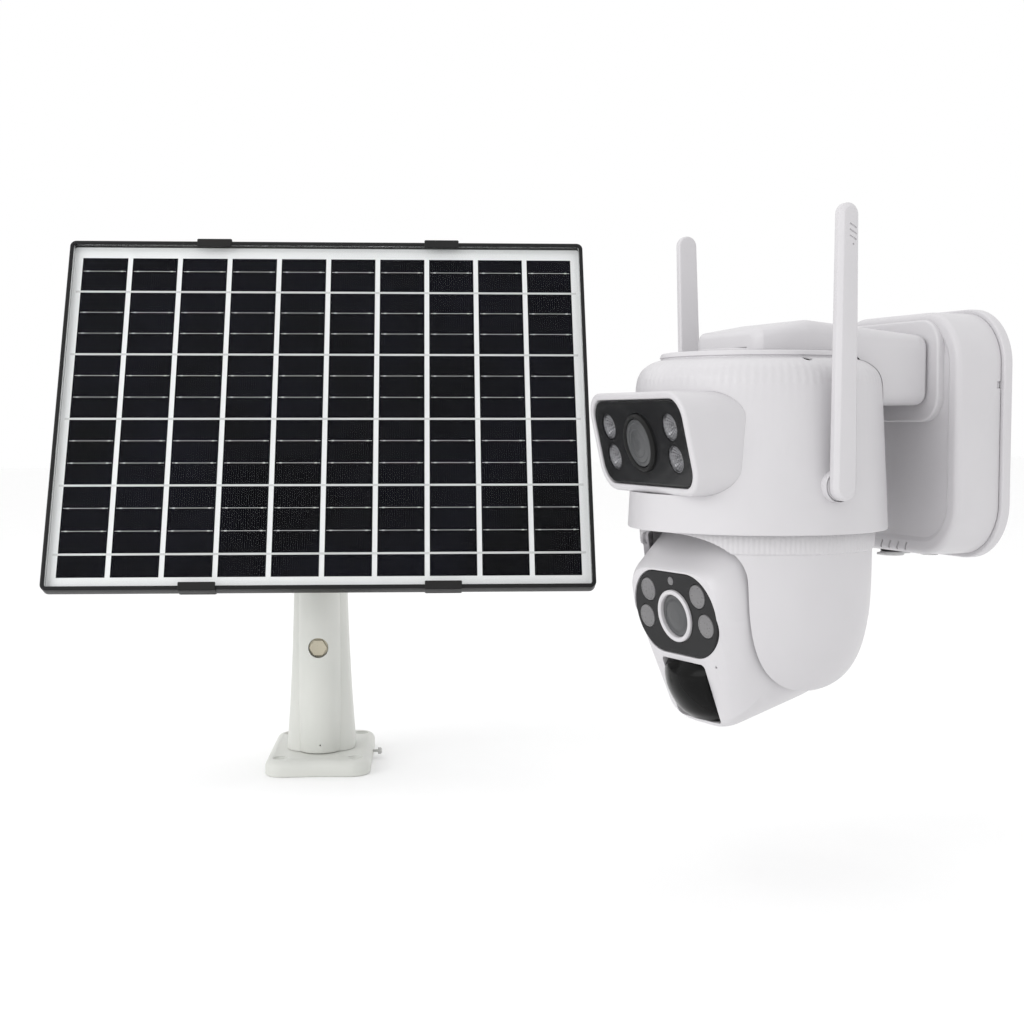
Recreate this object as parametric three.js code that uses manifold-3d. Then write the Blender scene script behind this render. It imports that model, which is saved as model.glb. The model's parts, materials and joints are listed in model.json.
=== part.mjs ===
// Solar-powered security camera: a wall-hung camera with a fixed upper lens and a turning lower
// head, and the solar panel on its own stand that charges it. Millimetres, +Z up.
// The origin is the middle of the wall plate's back face: +Y goes into the wall, +X is to the
// side, and the camera looks along -Y.

import * as THREE from 'three';
import { mergeVertices } from 'three/addons/utils/BufferGeometryUtils.js';
import Module from 'manifold-3d';

const wasm = await Module();
wasm.setup();
const { Manifold, Mesh: SolidMesh } = wasm;

// ---------------------------------------------------------------- driving dimensions

const GAP = 0.3;                 // play between two pieces that touch
const SHELL = 2.4;               // wall of a moulded cover
const ROUND_SIDES = 28;          // flats round a large round piece
const SMALL_SIDES = 12;          // flats round a small one

// wall box
const BOX = { width: 94, height: 110, depth: 28.3, corner: 24 };
const PLATE = { rim: 2, thick: 4.5 };
const WALL_HOLE = { x: 24, z: 40, radius: 2.3 };
const SCREW = { x: 39, shank: 1.5, head: 3 };
const FLANGE = { width: 72, height: 46, corner: 12, z: 28.5, thick: 2.6 };
const CELL = { radius: 9.2, length: 65, y: -15.2, z: 6 };
const SOCKET = { x: -14, radius: 5.5, bore: 2.6 };
const BUTTON = { x: 14, radius: 4, flange: 5.2 };
const UNDERSIDE_Y = -16;         // row of the socket and the button

// camera body, measured from its vertical pan axis
const PAN_Y = -101.6;            // pan axis, in front of the wall
const BODY = { top: 36, seam: -25.6, topRadius: 54.4, seamRadius: 56.8 };
const SKIRT = { bottom: -41.5, topRadius: 57, bottomRadius: 57.8, wall: 2.4 };
const FLOOR = { top: -22, thick: 2.4 };

// arm from the box over the body
const ARM = { width: 60, front: -18, highest: 50, back: 70.7, backTop: 44.5, backBottom: 13 };
const ARM_RISER = 32;            // front of the arm's deep rear part, before it is hollowed for the body
const ARM_PLAY = 1.2;            // room between that hollow and the body
const NECK = { radius: 26, bore: 8, bottom: BODY.top + GAP, top: 37.7 };

// upper lens housing: a short square tube that runs level, with a front that leans to look down
const GUN = { width: 88, height: 45, corner: 12, length: 31, y: -59.5, z: -3.5, pitch: 13 };
const GUN_PANEL = { width: 81, height: 37.5, corner: 9, thick: 2, sunk: 0.8 };
const GUN_LENS = { ring: 12.8, glass: 10.6, proud: 1.4 };
const GUN_LED = { radius: 5.9, across: 28, up: 6.9 };

// antennas, each on a pivot at the side of the body
const ANTENNA = { x: 60.6, y: 2.3, z: -21, thick: 5, top: 116, bottom: 6, pin: 3 };
const ANTENNA_WIDTH = { bottom: 11.5, top: 9.6 };
const BOSS_RADIUS = 6.8;
const LEFT_ANTENNA_LEAN = 2;     // where the left antenna is left turned

// lower head: a bowl that turns on the pan axis, with a slot for the tilting ball
const HEAD_YAW = 7;              // where the head is left turned
const BOWL = { radius: 51, top: -30.3, straight: -46, bottom: -118.5, flare: 1.4, squareness: 3.5 };
const SLOT = { half: 37.5, crown: -42, spring: -66, rearTop: -80, squareness: 2.9 };
const HUB_RADIUS = 6;
const TURNTABLE_RADIUS = 49;
const CHEEK_THICK = 2;

// tilting ball, measured from its tilt axis
const TILT_Y = -5;
const TILT_Z = -79;
const TILT_PITCH = 10;           // where the ball is left tilted, looking down
const BALL = { half: 36.9, squareness: 5, wall: 2.8 };
const BALL_CHIN = { from: -8, reach: 41, squareness: 2.5 };   // how the ball narrows downwards
// the ball's outline from the side, as corners of [y, z, round]
const BALL_SIDE = [
  [-43, 25, 14], [-43, 10.6, 25], [-33.3, -46, 6], [16, -39.6, 26],
  [39, -14, 24], [39, 18, 24], [18, 43, 22], [-14, 46, 24],
];
const BALL_FACE = -39.3;         // flat front, cut off the outline
const BALL_SPLIT = 10;           // joint between the front and rear covers
const BALL_PANEL = { width: 59, height: 37.1, z: 7.7, thick: 1.4, seat: 2, ledge: 1.5 };
const BALL_LENS = { z: 6.7, ring: 11.7, glass: 9.3, proud: 1 };
const BALL_LED = { radius: 5.2, proud: 0.2, highX: 17.9, highZ: 17.1, lowX: 21.4, lowZ: 4.4 };
const PIR = { half: 15.2, bow: 24, thick: 2.2, bottom: -41.6, top: -14 };
// the motion sensor dome's front from the bottom up, as [forward, z]
const PIR_LINE = [[35, PIR.bottom], [39.6, -36], [43, -27], [42.8, -19], [39, PIR.top]];
const AXLE_RADIUS = 5;

// stand of the solar panel
const STAND = { x: -280.6, y: -225.3, z: -196, yaw: 70 };
const BASE = { width: 60, length: 92, thick: 9, corner: 11, holeX: 21.5, holeY: 34 };
const COLUMN = { foot: 20, waist: 15, top: 150, rib: 12.5, ribFront: -26.5 };
const POST = { radius: 10.2, bottom: 62, shoulder: 168, tab: 12, tabRadius: 13 };
const CLAMP_Z = 71;              // clamp bolt above the stand's underside
const SIDE_SCREW_Z = 4.2;        // side screw above the stand's underside

// solar panel, measured from its tilt bolt
const PIVOT_Z = 190.9;           // tilt bolt above the stand's underside
const BOLT_RADIUS = 4;
const PANEL = { width: 298, height: 212, depth: 8, front: -46.2, lip: 2.2, wall: 1.8, corner: 3.5 };
const PANEL_LEAN = 23.5;         // lean back from upright
const PANEL_SIDE = 6;            // how far the panel sits to one side of its bolt
const CLIP = { x: 66, width: 20, reach: 4.2, thick: 0.5 };
const GLASS_THICK = 3;
const SHEET_THICK = 1.2;
const RAIL = { width: 44, thick: 2 };
const BRACKET = { size: 60, thick: 2.5, arm: 3, armRadius: 10 };
const JUNCTION = { x: 82, z: 48, width: 50, height: 36, depth: 15, wall: 2.5, lead: 3.2 };
const GLAND = { bore: 2.4, radius: 5.4, collar: 6.5, length: 12 };

// ---------------------------------------------------------------- materials

function finish(color, roughness, metalness = 0) {
  return new THREE.MeshStandardMaterial({ color, roughness, metalness });
}

const whitePlastic = finish(0xe9e7e8, 0.42);
const standPlastic = finish(0xc9cbc6, 0.55);
const blackGloss = finish(0x18181a, 0.12);
const blackPlastic = finish(0x1d1d1e, 0.5);
const blackMetal = finish(0x222224, 0.45, 0.6);
const clearGlass = finish(0x5c5f63, 0.05);
const panelGlass = finish(0x11131c, 0.08);
const cellSheet = finish(0x0e0f16, 0.3);
const silver = finish(0xb9bbbe, 0.25, 1);
const steel = finish(0xa8a9ab, 0.35, 1);
const milkyLens = finish(0x8f8d92, 0.35);
const boardGreen = finish(0x1f4a34, 0.55);
const rubber = finish(0xc4c4c4, 0.8);
const cellWrap = finish(0x2b5c9a, 0.5);

// ---------------------------------------------------------------- joining and cutting

// A closed geometry as a solid that can be joined and cut.
function toSolid(geometry) {
  const bare = geometry.clone();
  bare.deleteAttribute('normal');
  bare.deleteAttribute('uv');
  const merged = mergeVertices(bare, 1e-4);
  const index = merged.index.array;
  const corners = [];
  for (let i = 0; i < index.length; i += 3) {
    const [a, b, c] = [index[i], index[i + 1], index[i + 2]];
    if (a !== b && b !== c && c !== a) corners.push(a, b, c);
  }
  return new Manifold(new SolidMesh({
    numProp: 3,
    vertProperties: new Float32Array(merged.attributes.position.array),
    triVerts: new Uint32Array(corners),
  }));
}

function toGeometry(solid) {
  const { vertProperties, triVerts } = solid.getMesh();
  const geometry = new THREE.BufferGeometry();
  geometry.setAttribute('position', new THREE.BufferAttribute(vertProperties, 3));
  geometry.setIndex(new THREE.BufferAttribute(triVerts, 1));
  return geometry;
}

function join(...geometries) {
  return toGeometry(geometries.map(toSolid).reduce((all, one) => all.add(one)));
}

function cut(geometry, ...tools) {
  return toGeometry(tools.map(toSolid).reduce((left, tool) => left.subtract(tool), toSolid(geometry)));
}

function overlap(geometry, ...others) {
  return toGeometry(others.map(toSolid).reduce((left, other) => left.intersect(other), toSolid(geometry)));
}

// ---------------------------------------------------------------- shapes

const degrees = THREE.MathUtils.degToRad;

// Stands a shape drawn in XY up in the XZ plane: its thickness then runs from 0 towards -Y,
// and a lathe's axis becomes Z.
const upright = (geometry) => geometry.rotateX(Math.PI / 2);

// Turns a shape drawn in XY into the YZ plane, with its thickness along +X.
const SIDEWAYS = new THREE.Matrix4().makeBasis(
  new THREE.Vector3(0, 1, 0),
  new THREE.Vector3(0, 0, 1),
  new THREE.Vector3(1, 0, 0),
);
const sideways = (geometry) => geometry.applyMatrix4(SIDEWAYS);

function roundedRect(width, height, radius) {
  const x = width / 2 - radius;
  const y = height / 2 - radius;
  const shape = new THREE.Shape();
  shape.absarc(x, y, radius, 0, Math.PI / 2);
  shape.absarc(-x, y, radius, Math.PI / 2, Math.PI);
  shape.absarc(-x, -y, radius, Math.PI, 1.5 * Math.PI);
  shape.absarc(x, -y, radius, 1.5 * Math.PI, 2 * Math.PI);
  shape.closePath();
  return shape;
}

// A closed outline through corners of [x, y, round].
function filleted(corners) {
  const outline = new THREE.Shape();
  corners.forEach(([x, y, round], n) => {
    const corner = new THREE.Vector2(x, y);
    const before = new THREE.Vector2(...corners.at(n - 1)).sub(corner);
    const after = new THREE.Vector2(...corners[(n + 1) % corners.length]).sub(corner);
    const reach = round / Math.tan(before.angleTo(after) / 2);
    const [start, end] = [before, after].map((side) => side.setLength(reach).add(corner));
    if (n === 0) outline.moveTo(start.x, start.y);
    else outline.lineTo(start.x, start.y);
    if (round > 0) outline.quadraticCurveTo(x, y, end.x, end.y);
  });
  outline.closePath();
  return outline;
}

// A quarter of a squared circle, from [0, 1] to [1, 0]; a squareness of 2 gives a true circle.
function squaredQuarter(squareness, steps) {
  return Array.from({ length: steps + 1 }, (_, n) => {
    const angle = (n / steps) * (Math.PI / 2);
    return [Math.sin(angle), Math.cos(angle)].map((reach) => Math.max(reach, 0) ** (2 / squareness));
  });
}

// A flat piece of the given outline, from 0 to depth.
function slab(shape, depth, curveSegments = 4) {
  return new THREE.ExtrudeGeometry(shape, { depth, bevelEnabled: false, curveSegments });
}

// A slab whose two flat faces have an edge of the given round.
function softSlab(shape, depth, round, bevelSegments = 1, curveSegments = 4) {
  return new THREE.ExtrudeGeometry(shape, {
    depth: depth - 2 * round,
    bevelThickness: round,
    bevelSize: round,
    bevelOffset: -round,
    bevelSegments,
    curveSegments,
  }).translate(0, 0, round);
}

function block(width, length, height, x = 0, y = 0, z = 0) {
  return new THREE.BoxGeometry(width, length, height).translate(x, y, z);
}

// A round piece about the Z axis, from points of [radius, height].
function turned(points, sides = ROUND_SIDES) {
  return upright(new THREE.LatheGeometry(points.map(([r, z]) => new THREE.Vector2(r, z)), sides));
}

// A plain rod about the Z axis.
function rod(radius, bottom, top, sides = SMALL_SIDES) {
  return turned([[0, bottom], [radius, bottom], [radius, top], [0, top]], sides);
}

function ring(inner, outer, bottom, top, sides = ROUND_SIDES) {
  return turned([[inner, bottom], [outer, bottom], [outer, top], [inner, top], [inner, bottom]], sides);
}

// Turned pieces whose axis looks along -Y or along +X.
const frontward = (geometry) => geometry.rotateX(Math.PI / 2);
const acrossX = (geometry) => geometry.rotateY(Math.PI / 2);

// A closed skin over rings of points that have equal counts, with flat ends.
function loft(rings) {
  const count = rings[0].length;
  const position = rings.flat(2);
  const index = [];
  for (let r = 0; r < rings.length - 1; r += 1) {
    for (let i = 0; i < count; i += 1) {
      const [a, b] = [r * count + i, r * count + ((i + 1) % count)];
      index.push(a, b, b + count, a, b + count, a + count);
    }
  }
  const last = (rings.length - 1) * count;
  for (let i = 1; i < count - 1; i += 1) {
    index.push(0, i + 1, i, last, last + i, last + i + 1);
  }
  const geometry = new THREE.BufferGeometry();
  geometry.setAttribute('position', new THREE.Float32BufferAttribute(position, 3));
  geometry.setIndex(index);
  return geometry;
}

// ---------------------------------------------------------------- the scene graph

const product = new THREE.Group();

function place(parent, x, y, z, turn = {}) {
  const group = new THREE.Group();
  group.position.set(x, y, z);
  group.rotation.set(degrees(turn.x ?? 0), 0, degrees(turn.z ?? 0));
  parent.add(group);
  return group;
}

function piece(parent, name, geometry, material) {
  const mesh = new THREE.Mesh(geometry, material);
  mesh.name = name;
  parent.add(mesh);
}

// ---------------------------------------------------------------- wall box

const boxBottom = -BOX.height / 2;

function wallPlate() {
  const outline = roundedRect(BOX.width + 2 * PLATE.rim, BOX.height + 2 * PLATE.rim, BOX.corner + PLATE.rim);
  const plate = upright(softSlab(outline, PLATE.thick, 1));
  const holes = [];
  for (const side of [-1, 1]) {
    for (const end of [-1, 1]) {
      const hole = frontward(rod(WALL_HOLE.radius, -1, PLATE.thick + 1));
      holes.push(hole.translate(side * WALL_HOLE.x, 0, end * WALL_HOLE.z));
    }
    holes.push(frontward(rod(SCREW.shank + 0.4, -1, PLATE.thick + 1)).translate(side * SCREW.x, 0, 0));
    holes.push(frontward(rod(SCREW.head + 0.4, -1, 2.6)).translate(side * SCREW.x, 0, 0));
  }
  return cut(plate, ...holes);
}

function boxShell() {
  const back = -(PLATE.thick + GAP);
  const depth = BOX.depth - PLATE.thick - GAP;
  const outer = upright(softSlab(roundedRect(BOX.width, BOX.height, BOX.corner), depth + 4, 4, 2))
    .translate(0, back + 4, 0);
  const backCut = block(BOX.width + 10, 10, BOX.height + 10, 0, back + 5, 0);
  const inside = upright(slab(
    roundedRect(BOX.width - 2 * SHELL, BOX.height - 2 * SHELL, BOX.corner - SHELL),
    depth - SHELL + 1,
  )).translate(0, back + 1, 0);
  const flangeOutline = roundedRect(FLANGE.width, FLANGE.height, FLANGE.corner);
  const flange = upright(softSlab(flangeOutline, FLANGE.thick + 1, 1)).translate(0, -BOX.depth + 1, FLANGE.z);
  const wireHole = frontward(rod(7, 0, FLANGE.thick + 10)).translate(0, -BOX.depth + 8, FLANGE.z);
  const bosses = [-1, 1].map((side) => frontward(rod(4, 0.6, depth - 1)).translate(side * SCREW.x, back, 0));
  const pilots = [-1, 1].map(
    (side) => frontward(rod(SCREW.shank + GAP, -1, 12)).translate(side * SCREW.x, back, 0),
  );
  const undersideHole = (radius, x) => rod(radius, boxBottom - 1, boxBottom + 5).translate(x, UNDERSIDE_Y, 0);
  const socketHole = undersideHole(SOCKET.radius - 0.7, SOCKET.x);
  const buttonHole = undersideHole(BUTTON.radius + GAP, BUTTON.x);
  const hollow = cut(outer, backCut, inside);
  return cut(join(hollow, flange, ...bosses), wireHole, ...pilots, socketHole, buttonHole);
}

function boxScrew() {
  const { head, shank } = SCREW;
  const line = [[0, 0.4], [head, 0.4], [head, 2.2], [shank, 2.2], [shank, 14], [0, 14]];
  return frontward(turned(line, SMALL_SIDES));
}

function batteryPack() {
  const { radius, length, y, z } = CELL;
  const cells = [-1, 0, 1].map(
    (n) => rod(radius, -length / 2, length / 2, 20).translate(n * (2 * radius - 0.2), y, z),
  );
  return join(...cells);
}

function chargeSocket() {
  const { radius, bore } = SOCKET;
  const lip = boxBottom - 1.3;
  return turned([
    [0, lip + 10], [bore, lip + 10], [bore, lip], [radius, lip], [radius, boxBottom - GAP],
    [radius - 1, boxBottom - GAP], [radius - 1, lip + 12], [0, lip + 12],
  ], SMALL_SIDES).translate(SOCKET.x, UNDERSIDE_Y, 0);
}

// Flap of soft rubber on a strap, measured from the fold of its strap.
function socketCover() {
  const disc = rod(SOCKET.radius + GAP, -2.2, -GAP);
  const strap = block(4, 10, 1.2, 0, 5, -1);
  return join(disc, strap).translate(0, -9, 0);
}

function powerButton() {
  const { radius, flange } = BUTTON;
  const lip = boxBottom - 1.3;
  return turned([
    [0, lip], [radius, lip], [radius, lip + 4], [flange, lip + 4], [flange, lip + 5.3], [0, lip + 5.3],
  ], SMALL_SIDES).translate(BUTTON.x, UNDERSIDE_Y, 0);
}

piece(product, 'wall_plate', wallPlate(), whitePlastic);
piece(product, 'box_shell', boxShell(), whitePlastic);
piece(place(product, -SCREW.x, 0, 0), 'box_screw_left', boxScrew(), steel);
piece(place(product, SCREW.x, 0, 0), 'box_screw_right', boxScrew(), steel);
piece(product, 'battery_pack', batteryPack(), cellWrap);
piece(product, 'charge_socket', chargeSocket(), blackPlastic);
piece(place(product, SOCKET.x, UNDERSIDE_Y + 9, boxBottom - 1.3), 'socket_cover', socketCover(), rubber);
piece(product, 'power_button', powerButton(), blackPlastic);

// ---------------------------------------------------------------- arm

const camera = place(product, 0, PAN_Y, 0);

// The body's outer line from its bottom edge up to its top, as [radius, height].
const bodySide = [
  [BODY.seamRadius, BODY.seam + GAP],
  [BODY.topRadius, 21],
  [BODY.topRadius - 0.8, 25],
  [BODY.topRadius - 3, 29],
  [BODY.topRadius - 7, 31.8],
  [43.4, 33],
  [42.6, 35.4],
  [41.6, BODY.top],
];

// The arm's outline from the side, drawn in from its outer faces by the given inset.
function armOutline(inset) {
  const { front, highest, back, backTop, backBottom } = ARM;
  const bottom = BODY.top + 2 * GAP + inset;
  return filleted([
    [front + inset, bottom, 0],
    [front + 1 + inset, 45.5 - inset, 4 - inset],
    [8, highest - inset, 12],
    [back, backTop - inset, 0],
    [back, backBottom + inset, 0],
    [ARM_RISER, backBottom + inset, 0],
    [ARM_RISER, bottom, 0],
  ]);
}

// The body's outside grown by the given play, up to its flat top.
function bodyRoom(play) {
  const line = bodySide.map(([radius, z]) => [radius + play, z]);
  return turned([[0, BODY.seam], ...line, [0, BODY.top]]);
}

function armShell() {
  const outer = sideways(softSlab(armOutline(0), ARM.width, 3, 2)).translate(-ARM.width / 2, 0, 0);
  const endCut = block(ARM.width + 10, 10, 60, 0, ARM.back + 4.7, 30);
  const hollowWidth = ARM.width - 2 * SHELL;
  const neckTop = NECK.top + GAP;
  const hollow = cut(
    sideways(slab(armOutline(SHELL), hollowWidth)).translate(-hollowWidth / 2, 0, 0),
    bodyRoom(ARM_PLAY + SHELL),
    rod(NECK.radius + GAP + SHELL, NECK.bottom, neckTop + SHELL, ROUND_SIDES),
  );
  const endHeight = ARM.backTop - ARM.backBottom - 2 * SHELL;
  const hollowEnd = block(hollowWidth, 8, endHeight, 0, ARM.back - 2, (ARM.backTop + ARM.backBottom) / 2);
  const neckRoom = rod(NECK.radius + GAP, BODY.top - 1, neckTop, ROUND_SIDES);
  const neckHole = rod(NECK.bore, NECK.top - 2, NECK.top + 6);
  return cut(outer, endCut, hollow, hollowEnd, bodyRoom(ARM_PLAY), neckRoom, neckHole);
}

piece(camera, 'arm_shell', armShell(), whitePlastic);
piece(camera, 'neck_ring', ring(NECK.bore, NECK.radius, NECK.bottom, NECK.top), whitePlastic);

// ---------------------------------------------------------------- camera body

// Shears a piece of the lens housing so that it runs level behind its leaning front.
const levelOut = new THREE.Matrix4().makeShear(0, 0, 0, -Math.tan(degrees(GUN.pitch)), 0, 0);

// The room the lens housing takes in the body, out through the body's front.
function gunRoom() {
  const outline = roundedRect(GUN.width + 2 * GAP, GUN.height + 2 * GAP, GUN.corner + GAP);
  const [ahead, behind] = [15, GUN.length + 1];
  return upright(slab(outline, ahead + behind))
    .translate(0, behind, 0)
    .applyMatrix4(levelOut)
    .rotateX(degrees(GUN.pitch))
    .translate(0, GUN.y, GUN.z);
}

function bodyShell() {
  const inner = bodySide.map(([radius, z]) => [radius - SHELL, Math.min(z, BODY.top - SHELL)]);
  const bore = NECK.bore;
  const wall = turned([
    [bore, BODY.top - SHELL], ...inner.reverse(), ...bodySide, [bore, BODY.top], [bore, BODY.top - SHELL],
  ]);
  const bosses = [-1, 1].map((side) => acrossX(rod(BOSS_RADIUS, 54.6, ANTENNA.x - GAP))
    .rotateZ(side < 0 ? Math.PI : 0)
    .translate(0, ANTENNA.y, ANTENNA.z));
  const pinHoles = [-1, 1].map((side) => acrossX(rod(ANTENNA.pin + GAP, 45, ANTENNA.x + 1))
    .rotateZ(side < 0 ? Math.PI : 0)
    .translate(0, ANTENNA.y, ANTENNA.z));
  return cut(join(wall, ...bosses), ...pinHoles, gunRoom());
}

function skirtRing() {
  const { bottom, topRadius, bottomRadius, wall } = SKIRT;
  const band = turned([
    [topRadius - wall, BODY.seam], [bottomRadius - wall, bottom], [bottomRadius, bottom],
    [topRadius, BODY.seam], [topRadius - wall, BODY.seam],
  ]);
  const bossHole = acrossX(rod(BOSS_RADIUS + GAP, -80, 80)).translate(0, ANTENNA.y, ANTENNA.z);
  return cut(band, bossHole, gunRoom());
}

const floorBottom = FLOOR.top - FLOOR.thick;
const floorPlate = cut(
  ring(HUB_RADIUS + GAP, BODY.seamRadius - SHELL - 1, floorBottom, FLOOR.top),
  gunRoom(),
);
const motorBody = rod(14, FLOOR.top + GAP, FLOOR.top + 19, 24);
const mainBoard = slab(roundedRect(66, 48, 3), 1.6).translate(0, 8, 8);

piece(camera, 'body_shell', bodyShell(), whitePlastic);
piece(camera, 'skirt_ring', skirtRing(), whitePlastic);
piece(camera, 'body_floor', floorPlate, whitePlastic);
piece(camera, 'pan_motor', motorBody, steel);
piece(camera, 'main_board', mainBoard, boardGreen);

// ---------------------------------------------------------------- upper lens housing

const gun = place(camera, 0, GUN.y, GUN.z, { x: GUN.pitch });

function gunHousing() {
  const outline = roundedRect(GUN.width, GUN.height, GUN.corner);
  const outer = upright(softSlab(outline, GUN.length, 2, 2))
    .translate(0, GUN.length, 0)
    .applyMatrix4(levelOut);
  const bore = roundedRect(GUN_PANEL.width + 2 * GAP, GUN_PANEL.height + 2 * GAP, GUN_PANEL.corner + GAP);
  const boreDepth = GUN.length + 2;
  return cut(outer, upright(slab(bore, boreDepth)).translate(0, GUN.length + 1, 0).applyMatrix4(levelOut));
}

const gunLedPlaces = [[-1, 1], [1, 1], [-1, -1], [1, -1]]
  .map(([side, up]) => [side * GUN_LED.across, up * GUN_LED.up]);

function gunFacePanel() {
  const { width, height, corner, thick, sunk } = GUN_PANEL;
  const plate = upright(slab(roundedRect(width, height, corner), thick))
    .translate(0, sunk + thick, 0)
    .applyMatrix4(levelOut);
  const lensHole = frontward(rod(GUN_LENS.ring + GAP, -10, 10, 24));
  const ledHoles = gunLedPlaces.map(
    ([x, z]) => frontward(rod(GUN_LED.radius + GAP, -10, 10)).translate(x, 0, z),
  );
  return cut(plate, lensHole, ...ledHoles);
}

// A dished reflector with a small dome at its bottom, its mouth towards the front.
function gunLed() {
  const { radius } = GUN_LED;
  return frontward(turned([
    [0, -5], [radius - 2, -5], [radius, -1.2], [radius - 0.6, -1.2], [1.6, -3.6], [1.2, -2.6], [0, -2.2],
  ], SMALL_SIDES));
}

function gunLensRing() {
  return frontward(ring(GUN_LENS.glass + GAP, GUN_LENS.ring, -7, GUN_LENS.proud, 24));
}

function gunLensGlass() {
  const { glass } = GUN_LENS;
  return frontward(turned([[0, -3], [glass, -3], [glass, 0.8], [glass * 0.6, 1.6], [0, 1.9]], 24));
}

piece(gun, 'gun_housing', gunHousing(), whitePlastic);
piece(gun, 'gun_face_panel', gunFacePanel(), blackGloss);
piece(gun, 'gun_lens_ring', gunLensRing(), blackPlastic);
piece(gun, 'gun_lens_glass', gunLensGlass(), clearGlass);
gunLedPlaces.forEach(([x, z], n) => piece(place(gun, x, 0, z), `gun_led_${n + 1}`, gunLed(), silver));

// ---------------------------------------------------------------- antennas

function antennaBlade(side) {
  const half = { bottom: ANTENNA_WIDTH.bottom / 2, top: ANTENNA_WIDTH.top / 2 };
  const outline = new THREE.Shape();
  outline.absarc(0, ANTENNA.top - half.top, half.top, 0, Math.PI);
  outline.absarc(0, half.bottom - ANTENNA.bottom, half.bottom, Math.PI, 2 * Math.PI);
  outline.closePath();
  const blade = sideways(softSlab(outline, ANTENNA.thick, 1.2, 1, 6));
  const pin = acrossX(rod(ANTENNA.pin, -6, 1));
  const whole = join(blade, pin);
  return side < 0 ? toGeometry(toSolid(whole).mirror([1, 0, 0])) : whole;
}

for (const [name, side, lean] of [['antenna_left', -1, LEFT_ANTENNA_LEAN], ['antenna_right', 1, 0]]) {
  const pivot = place(camera, side * ANTENNA.x, ANTENNA.y, ANTENNA.z, { x: lean });
  piece(pivot, name, antennaBlade(side), whitePlastic);
}

// ---------------------------------------------------------------- lower head

const head = place(camera, 0, 0, 0, { z: HEAD_YAW });

// The bowl as a solid, drawn in by the given inset: a short cylinder on a squared half circle.
function bowlForm(inset) {
  const radius = BOWL.radius - inset;
  const drop = BOWL.straight - BOWL.bottom - inset;
  const top = BOWL.top + (inset > 0 ? 1 : 0);
  const curve = squaredQuarter(BOWL.squareness, 9)
    .map(([across, down]) => [radius * across, BOWL.straight - drop * down]);
  return turned([...curve, [radius + BOWL.flare, top], [0, top]]);
}

// The opening for the ball, from the front under the bottom and a little way up the back.
function slotForms() {
  const { half, crown, spring, rearTop } = SLOT;
  const arch = squaredQuarter(SLOT.squareness, 8)
    .map(([across, up]) => [half * across, spring + (crown - spring) * up]);
  const foot = [half, BOWL.bottom - 10];
  const right = [...arch, foot];
  const left = right.map(([x, z]) => [-x, z]).reverse().slice(0, -1);
  const outline = new THREE.Shape([...right, ...left].map(([x, z]) => new THREE.Vector2(x, z)));
  const frontSlot = upright(slab(outline, 80));
  const underside = block(2 * half, 80, 60, 0, 39, rearTop - 30);
  return [frontSlot, underside];
}

function yokeBowl() {
  return cut(bowlForm(0), bowlForm(SHELL), ...slotForms());
}

// The flat inner wall that closes the hollow of one cheek, with the hole for the axle.
function cheekPlate(side) {
  const x = side * (SLOT.half + GAP + CHEEK_THICK / 2);
  const wall = block(CHEEK_THICK, 120, 82, x, 0, BOWL.top - GAP - 41);
  const hole = acrossX(rod(AXLE_RADIUS + GAP, -60, 60)).translate(0, TILT_Y, TILT_Z);
  return cut(overlap(bowlForm(SHELL + GAP), wall), hole);
}

const turntable = turned([
  [0, BOWL.top + GAP], [TURNTABLE_RADIUS, BOWL.top + GAP], [TURNTABLE_RADIUS, BOWL.top + 2.8],
  [HUB_RADIUS, BOWL.top + 2.8], [HUB_RADIUS, FLOOR.top], [0, FLOOR.top],
]);

piece(head, 'turntable', turntable, whitePlastic);
piece(head, 'yoke_bowl', yokeBowl(), whitePlastic);
piece(head, 'cheek_plate_left', cheekPlate(-1), whitePlastic);
piece(head, 'cheek_plate_right', cheekPlate(1), whitePlastic);

// ---------------------------------------------------------------- tilting ball

const ball = place(head, 0, TILT_Y, TILT_Z, { x: TILT_PITCH });

function chinNarrowing(z) {
  const { from, reach, squareness } = BALL_CHIN;
  const share = Math.max(0, from - z) / reach;
  return (1 - share ** squareness) ** (1 / squareness);
}

// The ball as a solid, drawn in by the given inset: its side outline carried across, with the
// ends rounded off and the lower part narrowing.
function ballForm(inset, rows, roundSteps) {
  const half = BALL.half - inset;
  const outline = filleted(BALL_SIDE).getPoints(roundSteps).slice(0, -1);
  const drawnIn = 1 - inset / BALL.half;
  const end = squaredQuarter(BALL.squareness, rows).slice(1);
  const levels = [...end.map(([across, size]) => [-across, size]).reverse(), [0, 1], ...end];
  return loft(levels.filter(([, size]) => size > 0.01).map(([across, size]) => {
    const scale = size * drawnIn;
    return outline.map(({ x: y, y: z }) => [half * across * chinNarrowing(z * scale), y * scale, z * scale]);
  }));
}

// A strip with round ends as wide as it is high, seen from the front.
const stadium = (width, height) => roundedRect(width, height, height / 2 - 0.1);
const faceSolid = (shape, from, to, z) => upright(slab(shape, to - from, 5)).translate(0, to, z);
const behind = (y) => block(100, 100, 140, 0, y + 50, 0);

const panelSeat = BALL_FACE + BALL_PANEL.seat;
const ballOutside = cut(ballForm(0, 6, 3), block(100, 20, 140, 0, BALL_FACE - 10, 0));
const ballInside = overlap(ballForm(BALL.wall, 4, 2), behind(panelSeat + BALL_PANEL.ledge));

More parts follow.
